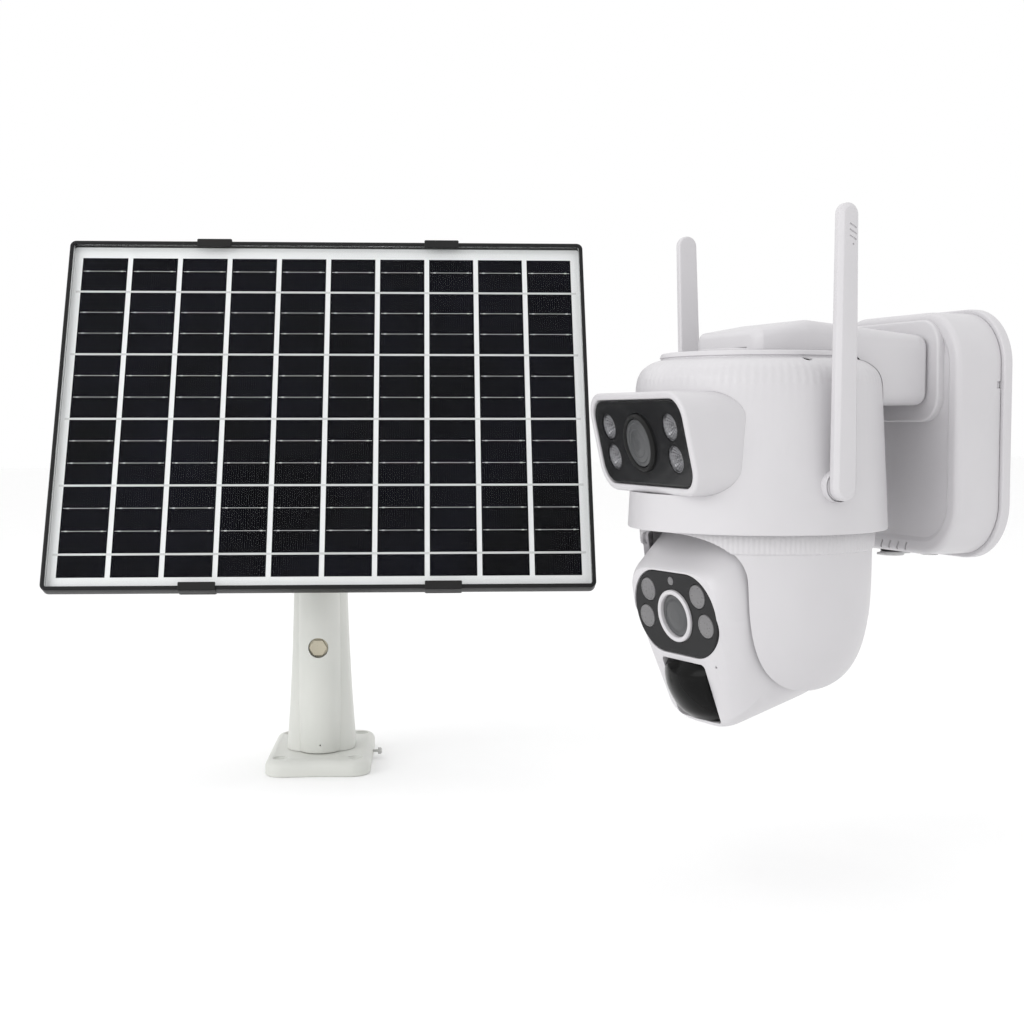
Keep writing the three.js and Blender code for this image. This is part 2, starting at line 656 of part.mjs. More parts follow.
function ballFrontShell() {
  const front = cut(ballOutside, ballInside, behind(BALL_SPLIT));
  const { width, height, z } = BALL_PANEL;
  const recess = faceSolid(stadium(width + 2 * GAP, height + 2 * GAP), BALL_FACE - 10, panelSeat, z);
  const window = faceSolid(stadium(width - 2, height - 2), BALL_FACE - 10, BALL_FACE + 12, z);
  const pirWindow = block(
    2 * (PIR.half + GAP), 30, PIR.top - PIR.bottom + 2 * GAP, 0, BALL_FACE, (PIR.top + PIR.bottom) / 2,
  );
  return cut(front, recess, window, pirWindow, acrossX(rod(AXLE_RADIUS + GAP, -60, 60)));
}

function ballRearShell() {
  return cut(overlap(ballOutside, behind(BALL_SPLIT + GAP)), ballInside);
}

const ballLedPlaces = [-1, 1].flatMap((side) => [
  [side * BALL_LED.highX, BALL_LED.highZ],
  [side * BALL_LED.lowX, BALL_LED.lowZ],
]);

function ballFacePanel() {
  const { width, height, z, thick } = BALL_PANEL;
  const back = panelSeat - GAP;
  const plate = faceSolid(stadium(width, height), back - thick, back, z);
  const lensHole = frontward(rod(BALL_LENS.ring + GAP, 20, 60, 24)).translate(0, 0, BALL_LENS.z);
  const ledHoles = ballLedPlaces.map(
    ([x, up]) => frontward(rod(BALL_LED.radius + GAP, 20, 60)).translate(x, 0, up),
  );
  return cut(plate, lensHole, ...ledHoles);
}

function ballLensRing() {
  return frontward(ring(BALL_LENS.glass + GAP, BALL_LENS.ring, -6, BALL_LENS.proud, 24));
}

function ballLensGlass() {
  const { glass } = BALL_LENS;
  return frontward(turned([[0, -4], [glass, -4], [glass, -1], [glass * 0.6, -0.2], [0, 0.1]], 24));
}

const ballLed = () => frontward(rod(BALL_LED.radius, -4, BALL_LED.proud));

// The motion sensor's lens: a bowed shell that swells out of its window in the front cover.
function pirDome() {
  const across = [-1, -0.75, -0.5, -0.25, 0, 0.25, 0.5, 0.75, 1].map((share) => share * PIR.half);
  const front = new THREE.SplineCurve(PIR_LINE.map(([forward, z]) => new THREE.Vector2(forward, z)));
  return loft(front.getPoints(10).map(({ x: forward, y: z }) => {
    const bowed = (x) => forward - (x * x) / (2 * PIR.bow);
    const outside = across.map((x) => [x, -bowed(x), z]);
    const inside = across.map((x) => [x, -bowed(x) + PIR.thick, z]);
    return [...outside, ...inside.reverse()];
  }));
}

function axle(side) {
  const stub = rod(AXLE_RADIUS, BALL.half - 4, SLOT.half + GAP + CHEEK_THICK + 1.5);
  return acrossX(stub).rotateZ(side < 0 ? Math.PI : 0);
}

const ballBoard = upright(slab(roundedRect(48, 24, 3), 1.6)).translate(0, -29, 8);
const tiltMotor = acrossX(rod(10, 8, BALL.half - 6, 20));

piece(ball, 'ball_front_shell', ballFrontShell(), whitePlastic);
piece(ball, 'ball_rear_shell', ballRearShell(), whitePlastic);
piece(ball, 'ball_face_panel', ballFacePanel(), blackGloss);
const ballLens = place(ball, 0, BALL_FACE, BALL_LENS.z);
piece(ballLens, 'ball_lens_ring', ballLensRing(), whitePlastic);
piece(ballLens, 'ball_lens_glass', ballLensGlass(), clearGlass);
ballLedPlaces.forEach(([x, z], n) => {
  piece(place(ball, x, BALL_FACE, z), `ball_led_${n + 1}`, ballLed(), milkyLens);
});
piece(ball, 'pir_dome', pirDome(), blackGloss);
piece(ball, 'ball_board', ballBoard, boardGreen);
piece(ball, 'tilt_motor', tiltMotor, steel);
piece(ball, 'tilt_axle_left', axle(-1), steel);
piece(ball, 'tilt_axle_right', axle(1), steel);

// ---------------------------------------------------------------- stand

const stand = place(product, STAND.x, STAND.y, STAND.z, { z: STAND.yaw });

// Foot plate with a front edge that is hollowed a little, and four countersunk holes.
function standBase() {
  const { width, length, thick, corner, holeX, holeY } = BASE;
  const x = width / 2 - corner;
  const y = length / 2 - corner;
  const outline = new THREE.Shape();
  outline.absarc(x, y, corner, 0, Math.PI / 2);
  outline.absarc(-x, y, corner, Math.PI / 2, Math.PI);
  outline.absarc(-x, -y, corner, Math.PI, 1.5 * Math.PI);
  outline.quadraticCurveTo(0, -length / 2 + 4, x, -length / 2);
  outline.absarc(x, -y, corner, 1.5 * Math.PI, 2 * Math.PI);
  outline.closePath();
  const plate = cut(
    softSlab(outline, thick + 4, 4, 2).translate(0, 0, -4),
    block(width + 10, length + 10, 10, 0, 0, -5),
  );
  const holes = [];
  for (const side of [-1, 1]) {
    for (const end of [-1, 1]) {
      const hole = turned([
        [0, -1], [2.3, -1], [2.3, thick - 2.4], [4.2, thick - 0.4], [4.2, thick + 1], [0, thick + 1],
      ], SMALL_SIDES);
      holes.push(hole.translate(side * holeX, end * holeY, 0));
    }
  }
  const screwHole = acrossX(rod(1.1, 22, 40, 10)).translate(0, 4, SIDE_SCREW_Z);
  return cut(plate, ...holes, screwHole);
}

function sideScrew() {
  return acrossX(turned([[0, 24], [0.8, 24], [0.8, 33], [2, 33], [2, 35.4], [0, 35.4]], 10))
    .translate(0, 4, SIDE_SCREW_Z);
}

// One level of the column: a rectangle with round corners.
function columnRing(halfX, halfY, z) {
  const points = roundedRect(2 * halfX, 2 * halfY, Math.min(halfX, halfY) * 0.7).getPoints(3);
  return points.slice(0, -1).map((point) => [point.x, point.y, z]);
}

function standColumn() {
  const { foot, waist, top, rib, ribFront } = COLUMN;
  const bottom = BASE.thick + GAP;
  const rings = [0, 0.12, 0.3, 0.6, 1].map((share) => {
    const flare = (1 - share) ** 2.2;
    const half = waist + (foot - waist) * flare;
    return columnRing(half, half, bottom + share * (top - bottom));
  });
  const body = loft(rings);
  const ribRod = turned([[0, bottom], [rib, bottom], [rib - 1, top], [0, top]], 24)
    .translate(0, ribFront + rib, 0);
  const socket = rod(POST.radius + GAP, POST.bottom - 2, top + 1, 24);
  const boltSeat = frontward(rod(5.8, 20, 40, 24)).translate(0, 0, CLAMP_Z).translate(0, -2, 0);
  const boltHole = frontward(rod(2.8, 5, 40)).translate(0, 0, CLAMP_Z);
  return cut(join(body, ribRod), socket, boltSeat, boltHole);
}

// Hexagon bolt that presses on the post inside the column.
function clampBolt() {
  const shank = rod(2.5, POST.radius + GAP, 23);
  const bolthead = rod(5.2, 22 + GAP, 25, 6);
  return frontward(join(shank, bolthead)).translate(0, 0, CLAMP_Z);
}

piece(stand, 'stand_base', standBase(), standPlastic);
piece(stand, 'stand_column', standColumn(), standPlastic);
piece(stand, 'base_side_screw', sideScrew(), steel);
piece(stand, 'clamp_bolt', clampBolt(), steel);

// Post that turns in the column, with a flat tab at its top for the tilt bolt.
function swivelPost() {
  const { radius, bottom, shoulder, tab, tabRadius } = POST;
  const post = rod(radius, bottom, shoulder, 24);
  const outline = new THREE.Shape();
  outline.absarc(0, PIVOT_Z, tabRadius, 0, Math.PI);
  outline.lineTo(-radius + 1, shoulder - 4);
  outline.lineTo(radius - 1, shoulder - 4);
  outline.closePath();
  const head = sideways(slab(outline, tab, 10)).translate(-tab / 2, 0, 0);
  const hole = acrossX(rod(BOLT_RADIUS + GAP, -20, 20)).translate(0, 0, PIVOT_Z);
  return cut(join(post, head), hole);
}

piece(stand, 'swivel_post', swivelPost(), standPlastic);

// ---------------------------------------------------------------- solar panel

const panel = place(stand, 0, 0, PIVOT_Z, { x: -PANEL_LEAN });
const panelBack = PANEL.front + PANEL.depth;
const panelSolid = (shape, from, to) => upright(slab(shape, to - from, 4)).translate(0, to, 0);

function panelFrame() {
  const { width, height, front, lip, wall, corner } = PANEL;
  const outer = panelSolid(roundedRect(width, height, corner), front, panelBack);
  const opening = panelSolid(
    roundedRect(width - 2 * lip, height - 2 * lip, corner - lip + 0.6), front - 1, panelBack + 1,
  );
  const inside = panelSolid(
    roundedRect(width - 2 * wall, height - 2 * wall, corner - wall), front + 0.8, panelBack + 1,
  );
  return cut(outer, opening, inside);
}

const sheetSize = [PANEL.width - 2 * PANEL.wall - 2 * GAP, PANEL.height - 2 * PANEL.wall - 2 * GAP];
const glassFront = PANEL.front + 0.8 + GAP;
const sheetFront = glassFront + GLASS_THICK + GAP;
const sheetBack = sheetFront + SHEET_THICK;

const frontGlass = panelSolid(roundedRect(...sheetSize, 1.4), glassFront, glassFront + GLASS_THICK);
const cells = panelSolid(roundedRect(...sheetSize, 1.4), sheetFront, sheetBack);
const rail = panelSolid(roundedRect(RAIL.width, sheetSize[1], 1), panelBack - RAIL.thick, panelBack);

function bracket() {
  const { size, thick, arm, armRadius } = BRACKET;
  const plate = panelSolid(roundedRect(size, size, 6), panelBack + GAP, panelBack + GAP + thick);
  const outline = new THREE.Shape();
  outline.absarc(0, 0, armRadius, -Math.PI / 2, Math.PI / 2);
  outline.lineTo(panelBack + GAP + 1, armRadius + 6);
  outline.lineTo(panelBack + GAP + 1, -armRadius - 6);
  outline.closePath();
  const arms = [-1, 1].map((side) => {
    const inner = POST.tab / 2 + GAP + 0.1;
    return sideways(slab(outline, arm, 8)).translate(side > 0 ? inner : -inner - arm, 0, 0);
  });
  return cut(join(plate, ...arms), acrossX(rod(BOLT_RADIUS + GAP, -20, 20)));
}

function tiltBolt() {
  const armOutside = POST.tab / 2 + GAP + 0.1 + BRACKET.arm + GAP;
  return acrossX(join(
    rod(BOLT_RADIUS, -armOutside - 1, armOutside + 1),
    rod(7, armOutside, armOutside + 5, 6),
    rod(7, -armOutside - 5, -armOutside, 6),
  ));
}

function junctionBox() {
  const { x, z, width, height, depth, wall, lead } = JUNCTION;
  const outer = upright(softSlab(roundedRect(width, height, 4), depth, 2, 1, 3));
  const cavity = upright(slab(roundedRect(width - 2 * wall, height - 2 * wall, 3), depth - wall, 2))
    .translate(0, 0.5, 0);
  const leadHole = rod(lead, -height, 0).translate(0, -depth / 2, 0);
  return cut(outer, cavity, leadHole).rotateZ(Math.PI).translate(x, sheetBack + GAP, z);
}

function cableGland() {
  const { bore, radius, collar, length } = GLAND;
  const top = JUNCTION.z - JUNCTION.height / 2 - GAP;
  return turned([
    [bore, top - length], [radius - 1.4, top - length], [radius, top - length + 3], [radius, top - 4],
    [collar, top - 4], [collar, top], [bore, top], [bore, top - length],
  ], SMALL_SIDES).translate(JUNCTION.x, sheetBack + GAP + JUNCTION.depth / 2, 0);
}

// Clip that folds over the frame's edge and holds the glass.
function clip(edge) {
  const { width, reach, thick } = CLIP;
  const height = PANEL.height / 2 + GAP;
  const front = PANEL.front - GAP - 1;
  const lip = block(width, 1, reach + thick, 0, front + 0.5, height + (thick - reach) / 2);
  const web = block(width, PANEL.depth, thick, 0, front + PANEL.depth / 2, height + thick / 2);
  return edge > 0 ? join(lip, web) : join(lip, web).rotateY(Math.PI);
}

const laminate = place(panel, PANEL_SIDE, 0, 0);
piece(laminate, 'panel_frame', panelFrame(), blackMetal);
piece(laminate, 'panel_glass', frontGlass, panelGlass);
piece(laminate, 'cell_sheet', cells, cellSheet);
piece(panel, 'panel_rail', rail, blackMetal);
piece(panel, 'panel_bracket', bracket(), blackMetal);
piece(panel, 'tilt_bolt', tiltBolt(), steel);
piece(laminate, 'junction_box', junctionBox(), blackPlastic);
piece(laminate, 'cable_gland', cableGland(), blackPlastic);
for (const [level, edge] of [['top', 1], ['bottom', -1]]) {
  for (const [hand, side] of [['left', -1], ['right', 1]]) {
    piece(place(laminate, side * CLIP.x, 0, 0), `clip_${level}_${hand}`, clip(edge), blackPlastic);
  }
}

export default product;
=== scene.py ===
# Looks of the solar-powered security camera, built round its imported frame.
# Shapes are drawn in millimetres at the place of the CAD piece they stand for, then set into the
# frame in metres. Places and directions come from the frame's joints, mounts and nodes.
import json
import math

import bmesh
import bpy
from mathutils import Matrix, Vector


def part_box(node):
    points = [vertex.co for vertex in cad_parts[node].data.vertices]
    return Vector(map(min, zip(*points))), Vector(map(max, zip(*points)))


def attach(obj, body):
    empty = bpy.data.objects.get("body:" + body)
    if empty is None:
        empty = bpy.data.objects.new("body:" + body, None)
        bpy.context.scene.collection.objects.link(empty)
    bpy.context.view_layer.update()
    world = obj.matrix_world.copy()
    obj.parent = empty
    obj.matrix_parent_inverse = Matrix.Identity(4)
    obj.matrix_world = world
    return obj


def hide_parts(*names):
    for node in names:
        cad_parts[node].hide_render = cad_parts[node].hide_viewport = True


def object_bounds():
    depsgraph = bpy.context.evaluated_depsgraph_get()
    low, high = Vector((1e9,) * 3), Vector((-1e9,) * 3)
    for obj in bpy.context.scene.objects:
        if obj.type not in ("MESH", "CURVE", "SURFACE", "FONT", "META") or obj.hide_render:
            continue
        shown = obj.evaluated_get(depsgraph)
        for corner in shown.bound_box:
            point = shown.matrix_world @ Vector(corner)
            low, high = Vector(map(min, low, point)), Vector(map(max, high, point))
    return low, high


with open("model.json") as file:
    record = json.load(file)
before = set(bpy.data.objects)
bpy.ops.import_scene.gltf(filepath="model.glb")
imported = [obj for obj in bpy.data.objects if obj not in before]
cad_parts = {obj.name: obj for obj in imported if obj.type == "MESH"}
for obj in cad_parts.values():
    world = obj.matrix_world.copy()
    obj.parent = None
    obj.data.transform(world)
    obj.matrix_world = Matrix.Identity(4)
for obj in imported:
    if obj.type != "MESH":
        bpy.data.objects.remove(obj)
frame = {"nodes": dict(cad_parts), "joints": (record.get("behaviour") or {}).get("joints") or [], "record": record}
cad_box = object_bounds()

MM = 0.001
UP = Vector((0, 0, 1))
GAP = 0.3                        # play between two pieces that touch, in mm

joints = {joint["name"]: joint for joint in frame["joints"]}
mounts = {mount["name"]: mount for mount in frame["record"]["mounts"]}


# ---------------------------------------------------------------- places

def centre(node):
    low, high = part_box(node)
    return (low + high) / 2


def facing(node):
    """The way a flat CAD piece faces, square to its broadest face, on the camera's looking side."""
    broadest = max(frame["nodes"][node].data.polygons, key=lambda face: face.area)
    return broadest.normal if broadest.normal.y < 0 else -broadest.normal


def place(origin, forward):
    """A local frame whose -Y looks forward and whose X lies level."""
    y = -Vector(forward).normalized()
    x = y.cross(UP).normalized()
    z = x.cross(y)
    return Matrix.Translation(origin) @ Matrix((x, y, z)).transposed().to_4x4()


def moved(at, x=0.0, y=0.0, z=0.0):
    """The same local frame, shifted by millimetres along its own axes."""
    return at @ Matrix.Translation(Vector((x, y, z)) * MM)


pan_pos = Vector(joints["head_pan"]["pos_m"])
tilt_axis = Vector(joints["ball_tilt"]["axis"])
stand_axis = Vector(joints["panel_tilt"]["axis"])
GUN_LEAN = math.tan(math.radians(13))   # how far the gun's front leans for each bit of height
gun_panel_middle = 0.8 + 2 / 2   # how deep the middle of its thickness lies behind the gun's front

WALL = place((0, 0, 0), (0, -1, 0))
BODY = place((pan_pos.x, pan_pos.y, 0), (0, -1, 0))
GUN = moved(
    place(centre("gun_face_panel"), facing("gun_face_panel")),
    y=-gun_panel_middle, z=gun_panel_middle * GUN_LEAN)
HEAD = place((pan_pos.x, pan_pos.y, 0), tilt_axis.cross(UP))
BALL = place(joints["ball_tilt"]["pos_m"], facing("ball_face_panel"))
STAND = place(mounts["stand_base_face"]["pos_m"], stand_axis.cross(UP))
PANEL = place(joints["panel_tilt"]["pos_m"], facing("panel_glass"))
LAMINATE = moved(PANEL, x=6)     # the framed glass sits to one side of its bolt


# ---------------------------------------------------------------- lines and outlines

def filleted(points, radius, steps=4, closed=False):
    """A line with its corners rounded. The radius is one number or one for each point."""
    line = []
    for i, here in enumerate(points):
        r = radius[i] if isinstance(radius, (list, tuple)) else radius
        ends_here = not closed and i in (0, len(points) - 1)
        if ends_here or r <= 0:
            line.append(tuple(here))
            continue
        corner = Vector(here)
        back = Vector(points[i - 1]) - corner
        ahead = Vector(points[(i + 1) % len(points)]) - corner
        half = back.angle(ahead) / 2
        reach = min(r / math.tan(half), 0.49 * back.length, 0.49 * ahead.length)
        middle = corner + (back.normalized() + ahead.normalized()).normalized() * reach / math.cos(half)
        start = corner + back.normalized() * reach - middle
        turn = -start.angle_signed(corner + ahead.normalized() * reach - middle)
        for step in range(steps + 1):
            line.append(tuple(middle + Matrix.Rotation(turn * step / steps, 2) @ start))
    return line


def smooth_line(points, steps=6):
    """A curve through all the points (Catmull-Rom)."""
    knots = [Vector(p) for p in points]
    knots = [2 * knots[0] - knots[1], *knots, 2 * knots[-1] - knots[-2]]
    line = []
    for a, b, c, d in zip(knots, knots[1:], knots[2:], knots[3:]):
        for step in range(steps):
            t = step / steps
            curve = 2 * b + (c - a) * t + (2 * a - 5 * b + 4 * c - d) * t ** 2
            line.append(tuple((curve + (3 * b - a - 3 * c + d) * t ** 3) / 2))
    return line + [tuple(points[-1])]


def circle(radius, sides=96):
    """An outline is a function of how far it is drawn in, and gives a ring of points."""
    def at(inset):
        angles = [2 * math.pi * i / sides for i in range(sides)]
        return [((radius - inset) * math.cos(a), (radius - inset) * math.sin(a)) for a in angles]
    return at


def ribbed_circle(radius, ribs, depth, share=lambda inset: 1, per_rib=6):
    """A circle with fine upright ribs, as deep as the share given for each inset."""
    sides = ribs * per_rib

    def at(inset):
        ring = []
        for i in range(sides):
            angle = 2 * math.pi * i / sides
            dip = depth * share(inset) * (0.5 - 0.5 * math.cos(ribs * angle))
            reach = radius - inset - dip
            ring.append((reach * math.cos(angle), reach * math.sin(angle)))
        return ring
    return at


def polygon(corners, rounds, steps=8):
    """An outline with straight sides and round corners, given in turn against the clock."""
    count = len(corners)
    if not isinstance(rounds, (list, tuple)):
        rounds = [rounds] * count

    def at(inset):
        moved_corners, radii = [], []
        for i, here in enumerate(corners):
            before = (Vector(here) - Vector(corners[i - 1])).normalized()
            after = (Vector(corners[(i + 1) % count]) - Vector(here)).normalized()
            left_before, left_after = Vector((-before.y, before.x)), Vector((-after.y, after.x))
            shift = (left_before + left_after) / (1 + left_before.dot(left_after))
            moved_corners.append(Vector(here) + inset * shift)
            bends_left = before.cross(after) > 0
            radii.append(max(rounds[i] - inset if bends_left else rounds[i] + inset, 0.05))
        return filleted(moved_corners, radii, steps, closed=True)
    return at


def squared_quarter(squareness, steps):
    """A quarter of a squared circle, from (0, 1) towards (1, 0); a squareness of 2 gives a true circle."""
    angles = [math.pi / 2 * step / steps for step in range(steps + 1)]
    return [(math.sin(a) ** (2 / squareness), abs(math.cos(a)) ** (2 / squareness)) for a in angles]


def rounded_rect(width, height, corner, x=0.0, y=0.0, steps=8):
    w, h = width / 2, height / 2
    return polygon([(x + w, y + h), (x - w, y + h), (x - w, y - h), (x + w, y - h)], corner, steps)


# ---------------------------------------------------------------- skins

# How an outline's two directions and its level lie in the local frame.
LIE = {
    "up": lambda u, v, level: (u, v, level),
    "front": lambda u, v, level: (u, -level, v),
    "side": lambda u, v, level: (level, u, v),
}


def lofted(rings, loop=False):
    """A skin over rings of points that have equal counts, as (points, faces)."""
    count = len(rings[0])
    faces = []
    for r in range(len(rings) if loop else len(rings) - 1):
        low, high = r * count, (r + 1) % len(rings) * count
        for i in range(count):
            j = (i + 1) % count
            faces.append((low + i, low + j, high + j, high + i))
    if not loop:
        faces.append(tuple(range(count)))
        faces.append(tuple((len(rings) - 1) * count + i for i in range(count)))
    return [point for ring in rings for point in ring], faces


def swept(outline, section, lie="front", loop=False):
    """The outline carried along a section of (inset, level) points, open with flat ends or in a loop."""
    rings = [[LIE[lie](u, v, level) for u, v in outline(inset)] for inset, level in section]
    return lofted(rings, loop)


def slab(outline, low, high, soft_low=0.3, soft_high=0.3, lie="front", steps=4):
    """A solid of one outline with round edges at its two faces."""
    section = [(soft_low + 0.4, low), (0, low), (0, high), (soft_high + 0.4, high)]
    return swept(outline, filleted(section, [0, soft_low, soft_high, 0], steps), lie)


def tube(outline, section, soft=0.3, lie="front", steps=3):
    """A frame or ring: a closed section with round corners, carried round the outline."""
    return swept(outline, filleted(section, soft, steps, closed=True), lie, loop=True)


def turned(line, lie="front", sides=96, loop=False):
    """A round piece about the local axis, from a line of (radius, level) points."""
    return swept(circle(0, sides), [(-radius, level) for radius, level in line], lie, loop)


def rod(radius, low, high, lie="front", sides=96, soft=0):
    """A round rod between two levels, also used as the tool for a round hole."""
    return turned(filleted([(0, low), (radius, low), (radius, high), (0, high)], soft), lie, sides)


def shifted(skin, x=0.0, y=0.0, z=0.0):
    points, faces = skin
    return [(px + x, py + y, pz + z) for px, py, pz in points], faces


def mirrored(skin):
    points, faces = skin
    return [(-x, y, z) for x, y, z in points], faces


def levelled(skin):
    """Shears a skin of the gun so that it runs level behind its leaning front."""
    points, faces = skin
    return [(x, y, z - y * GUN_LEAN) for x, y, z in points], faces


def tipped(skin, angle, axis):
    """A skin turned about a local axis through the origin, in degrees."""
    points, faces = skin
    turn = Matrix.Rotation(math.radians(angle), 3, axis)
    return [tuple(turn @ Vector(point)) for point in points], faces


def block(x0, x1, y0, y1, z0, z1):
    """A plain block, used as a cutting tool and for thin strips."""
    points = [(x, y, z) for x in (x0, x1) for y in (y0, y1) for z in (z0, z1)]
    faces = [(0, 1, 3, 2), (4, 6, 7, 5), (0, 4, 5, 1), (2, 3, 7, 6), (0, 2, 6, 4), (1, 5, 7, 3)]
    return points, faces


# ---------------------------------------------------------------- solids

def solid(*skins):
    """One Blender object of closed skins, in local millimetres."""
    points, faces = [], []
    for skin_points, skin_faces in skins:
        first = len(points)
        points += skin_points
        faces += [tuple(first + i for i in face) for face in skin_faces]
    mesh = bpy.data.meshes.new("draft")
    mesh.from_pydata(points, [], faces)
    work = bmesh.new()
    work.from_mesh(mesh)
    bmesh.ops.remove_doubles(work, verts=work.verts, dist=1e-4)
    bmesh.ops.dissolve_degenerate(work, edges=work.edges, dist=1e-5)
    bmesh.ops.recalc_face_normals(work, faces=work.faces)
    work.to_mesh(mesh)
    work.free()
    draft = bpy.data.objects.new("draft", mesh)
    bpy.context.scene.collection.objects.link(draft)
    return draft


def settle(draft):
    """Applies the modifiers of a draft."""
    bpy.context.view_layer.update()
    graph = bpy.context.evaluated_depsgraph_get()
    done = bpy.data.meshes.new_from_object(draft.evaluated_get(graph))
    draft.modifiers.clear()
    draft.data = done
    return draft


def combine(draft, others, how):
    for other in others:
        modifier = draft.modifiers.new(how, "BOOLEAN")
        modifier.operation = how
        modifier.solver = "EXACT"
        modifier.object = other
    settle(draft)
    for other in others:
        bpy.data.objects.remove(other)
    return draft


def cut(draft, *skins):
    return combine(draft, [solid(skin) for skin in skins], "DIFFERENCE")


def join(draft, *skins):
    return combine(draft, [solid(skin) for skin in skins], "UNION")


def eased(draft, width, angle=40, segments=2):
    """Rounds the sharp edges of a draft."""
    modifier = draft.modifiers.new("ease", "BEVEL")
    modifier.width = width
    modifier.segments = segments
    modifier.limit_method = "ANGLE"
    modifier.angle_limit = math.radians(angle)
    modifier.use_clamp_overlap = True
    return settle(draft)


def show(draft, name, at, finish, body, stands_for=(), crease=35):
    """Puts a draft in its place as a named piece that rides on a body."""
    draft.data.transform(at @ Matrix.Scale(MM, 4))
    draft.name = name
    draft.data.name = name
    draft.data.materials.clear()
    draft.data.materials.append(finish)
    draft.data.shade_smooth()
    draft.data.set_sharp_from_angle(angle=math.radians(crease))
    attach(draft, body)
    if stands_for:
        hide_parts(*stands_for)
    return draft


# ---------------------------------------------------------------- finishes

for plain in list(bpy.data.materials):
    bpy.data.materials.remove(plain)


class Finish:
    """One procedural material, built node by node. Its coordinates are metres on the resting object."""

    def __init__(self, name):
        self.material = bpy.data.materials.new(name)
        self.material.use_nodes = True
        self.nodes = self.material.node_tree.nodes
        self.links = self.material.node_tree.links
        self.shader = self.nodes["Principled BSDF"]
        self.place = self.add("ShaderNodeTexCoord").outputs["Object"]

    def add(self, kind, inputs=None, **settings):
        node = self.nodes.new(kind)
        for key, value in settings.items():
            setattr(node, key, value)
        for socket, value in (inputs or {}).items():
            self.feed(node.inputs[socket], value)
        return node

    def feed(self, socket, value):
        if isinstance(value, bpy.types.NodeSocket):
            self.links.new(value, socket)
        else:
            socket.default_value = value

    def set(self, **inputs):
        for socket, value in inputs.items():
            self.feed(self.shader.inputs[socket.replace("_", " ")], value)

    def noise(self, size, detail=2.0, place=None):
        """Cloudy noise whose spots are about the given size in metres."""
        inputs = {"Vector": place or self.place, "Scale": 1 / size, "Detail": detail}
        return self.add("ShaderNodeTexNoise", inputs).outputs["Fac"]

    def spread(self, value, low, high, from_low=0.3, from_high=0.7):
        inputs = {"Value": value, "From Min": from_low, "From Max": from_high, "To Min": low, "To Max": high}
        return self.add("ShaderNodeMapRange", inputs).outputs["Result"]

    def blend(self, share, first, second):
        mix = self.add("ShaderNodeMix", data_type="RGBA")
        self.feed(mix.inputs[0], share)
        self.feed(mix.inputs[6], first)
        self.feed(mix.inputs[7], second)
        return mix.outputs[2]

    def bump(self, height, distance, strength=1.0):
        inputs = {"Height": height, "Distance": distance, "Strength": strength}
        return self.add("ShaderNodeBump", inputs).outputs["Normal"]


def rgb(red, green, blue):
    return (red, green, blue, 1.0)


def grained(name, colour, shade, roughness, grain, depth, **surface):
    """Moulded or painted stuff: slow colour drift, fine grain in its gloss and its surface."""
    finish = Finish(name)
    drift = finish.spread(finish.noise(0.03, 3), 0.0, 1.0)
    fine = finish.noise(grain, 3)
    finish.set(
        Base_Color=finish.blend(drift, colour, shade),
        Roughness=finish.spread(fine, roughness - 0.05, roughness + 0.05),
        Normal=finish.bump(fine, depth),
        **surface,
    )
    return finish.material


def solar_cell_finish():
    """Dark silicon with fine upright silver fingers and a faint blue drift from cell to cell."""
    finish = Finish("cell_black")
    across = PANEL.to_3x3() @ Vector((1, 0, 0))
    along = finish.add("ShaderNodeVectorMath", {0: finish.place, 1: across}, operation="DOT_PRODUCT")
    finger_pitch = 0.00125
    turns = finish.add("ShaderNodeMath", {0: along.outputs["Value"], 1: finger_pitch}, operation="DIVIDE")
    share = finish.add("ShaderNodeMath", {0: turns.outputs[0]}, operation="FRACT")
    finger = finish.add("ShaderNodeMath", {0: share.outputs[0], 1: 0.12}, operation="LESS_THAN")
    drift = finish.spread(finish.noise(0.05, 2), 0.0, 1.0)
    silicon = finish.blend(drift, rgb(0.004, 0.004, 0.005), rgb(0.006, 0.006, 0.010))
    finish.set(
        Base_Color=finish.blend(finger.outputs[0], silicon, rgb(0.035, 0.035, 0.038)),
        Roughness=finish.spread(finish.noise(0.002), 0.35, 0.5),
        Specular_IOR_Level=0.0,
    )
    return finish.material


def pane_finish():
    """Clear glass with the fine pattern of solar glass: it lets light straight through and shines."""
    finish = Finish("panel_glass")
    pattern = finish.noise(0.0016, 1)
    normal = finish.bump(pattern, 0.00012, 0.6)
    clear = finish.add("ShaderNodeBsdfTransparent", {"Color": rgb(0.97, 0.975, 0.97)})
    gloss = finish.add("ShaderNodeBsdfGlossy", {
        "Color": rgb(0.9, 0.9, 0.9),
        "Roughness": 0.12,
        "Normal": normal,
    })
    share = finish.add("ShaderNodeFresnel", {"IOR": 1.09, "Normal": normal})
    mix = finish.add("ShaderNodeMixShader", {0: share.outputs[0], 1: clear.outputs[0], 2: gloss.outputs[0]})
    finish.nodes.remove(finish.shader)
    finish.links.new(mix.outputs[0], finish.nodes["Material Output"].inputs["Surface"])
    return finish.material


def lens_finish(name, colour, shade, size):
    """Coated glass over a dark barrel: a soft grey with a faint cloud in it."""
    finish = Finish(name)
    cloud = finish.noise(size, 2)
    finish.set(
        Base_Color=finish.blend(finish.spread(cloud, 0.0, 1.0), colour, shade),
        Roughness=finish.spread(cloud, 0.34, 0.42),
        Coat_Weight=0.15,
        Coat_Roughness=0.15,
    )
    return finish.material


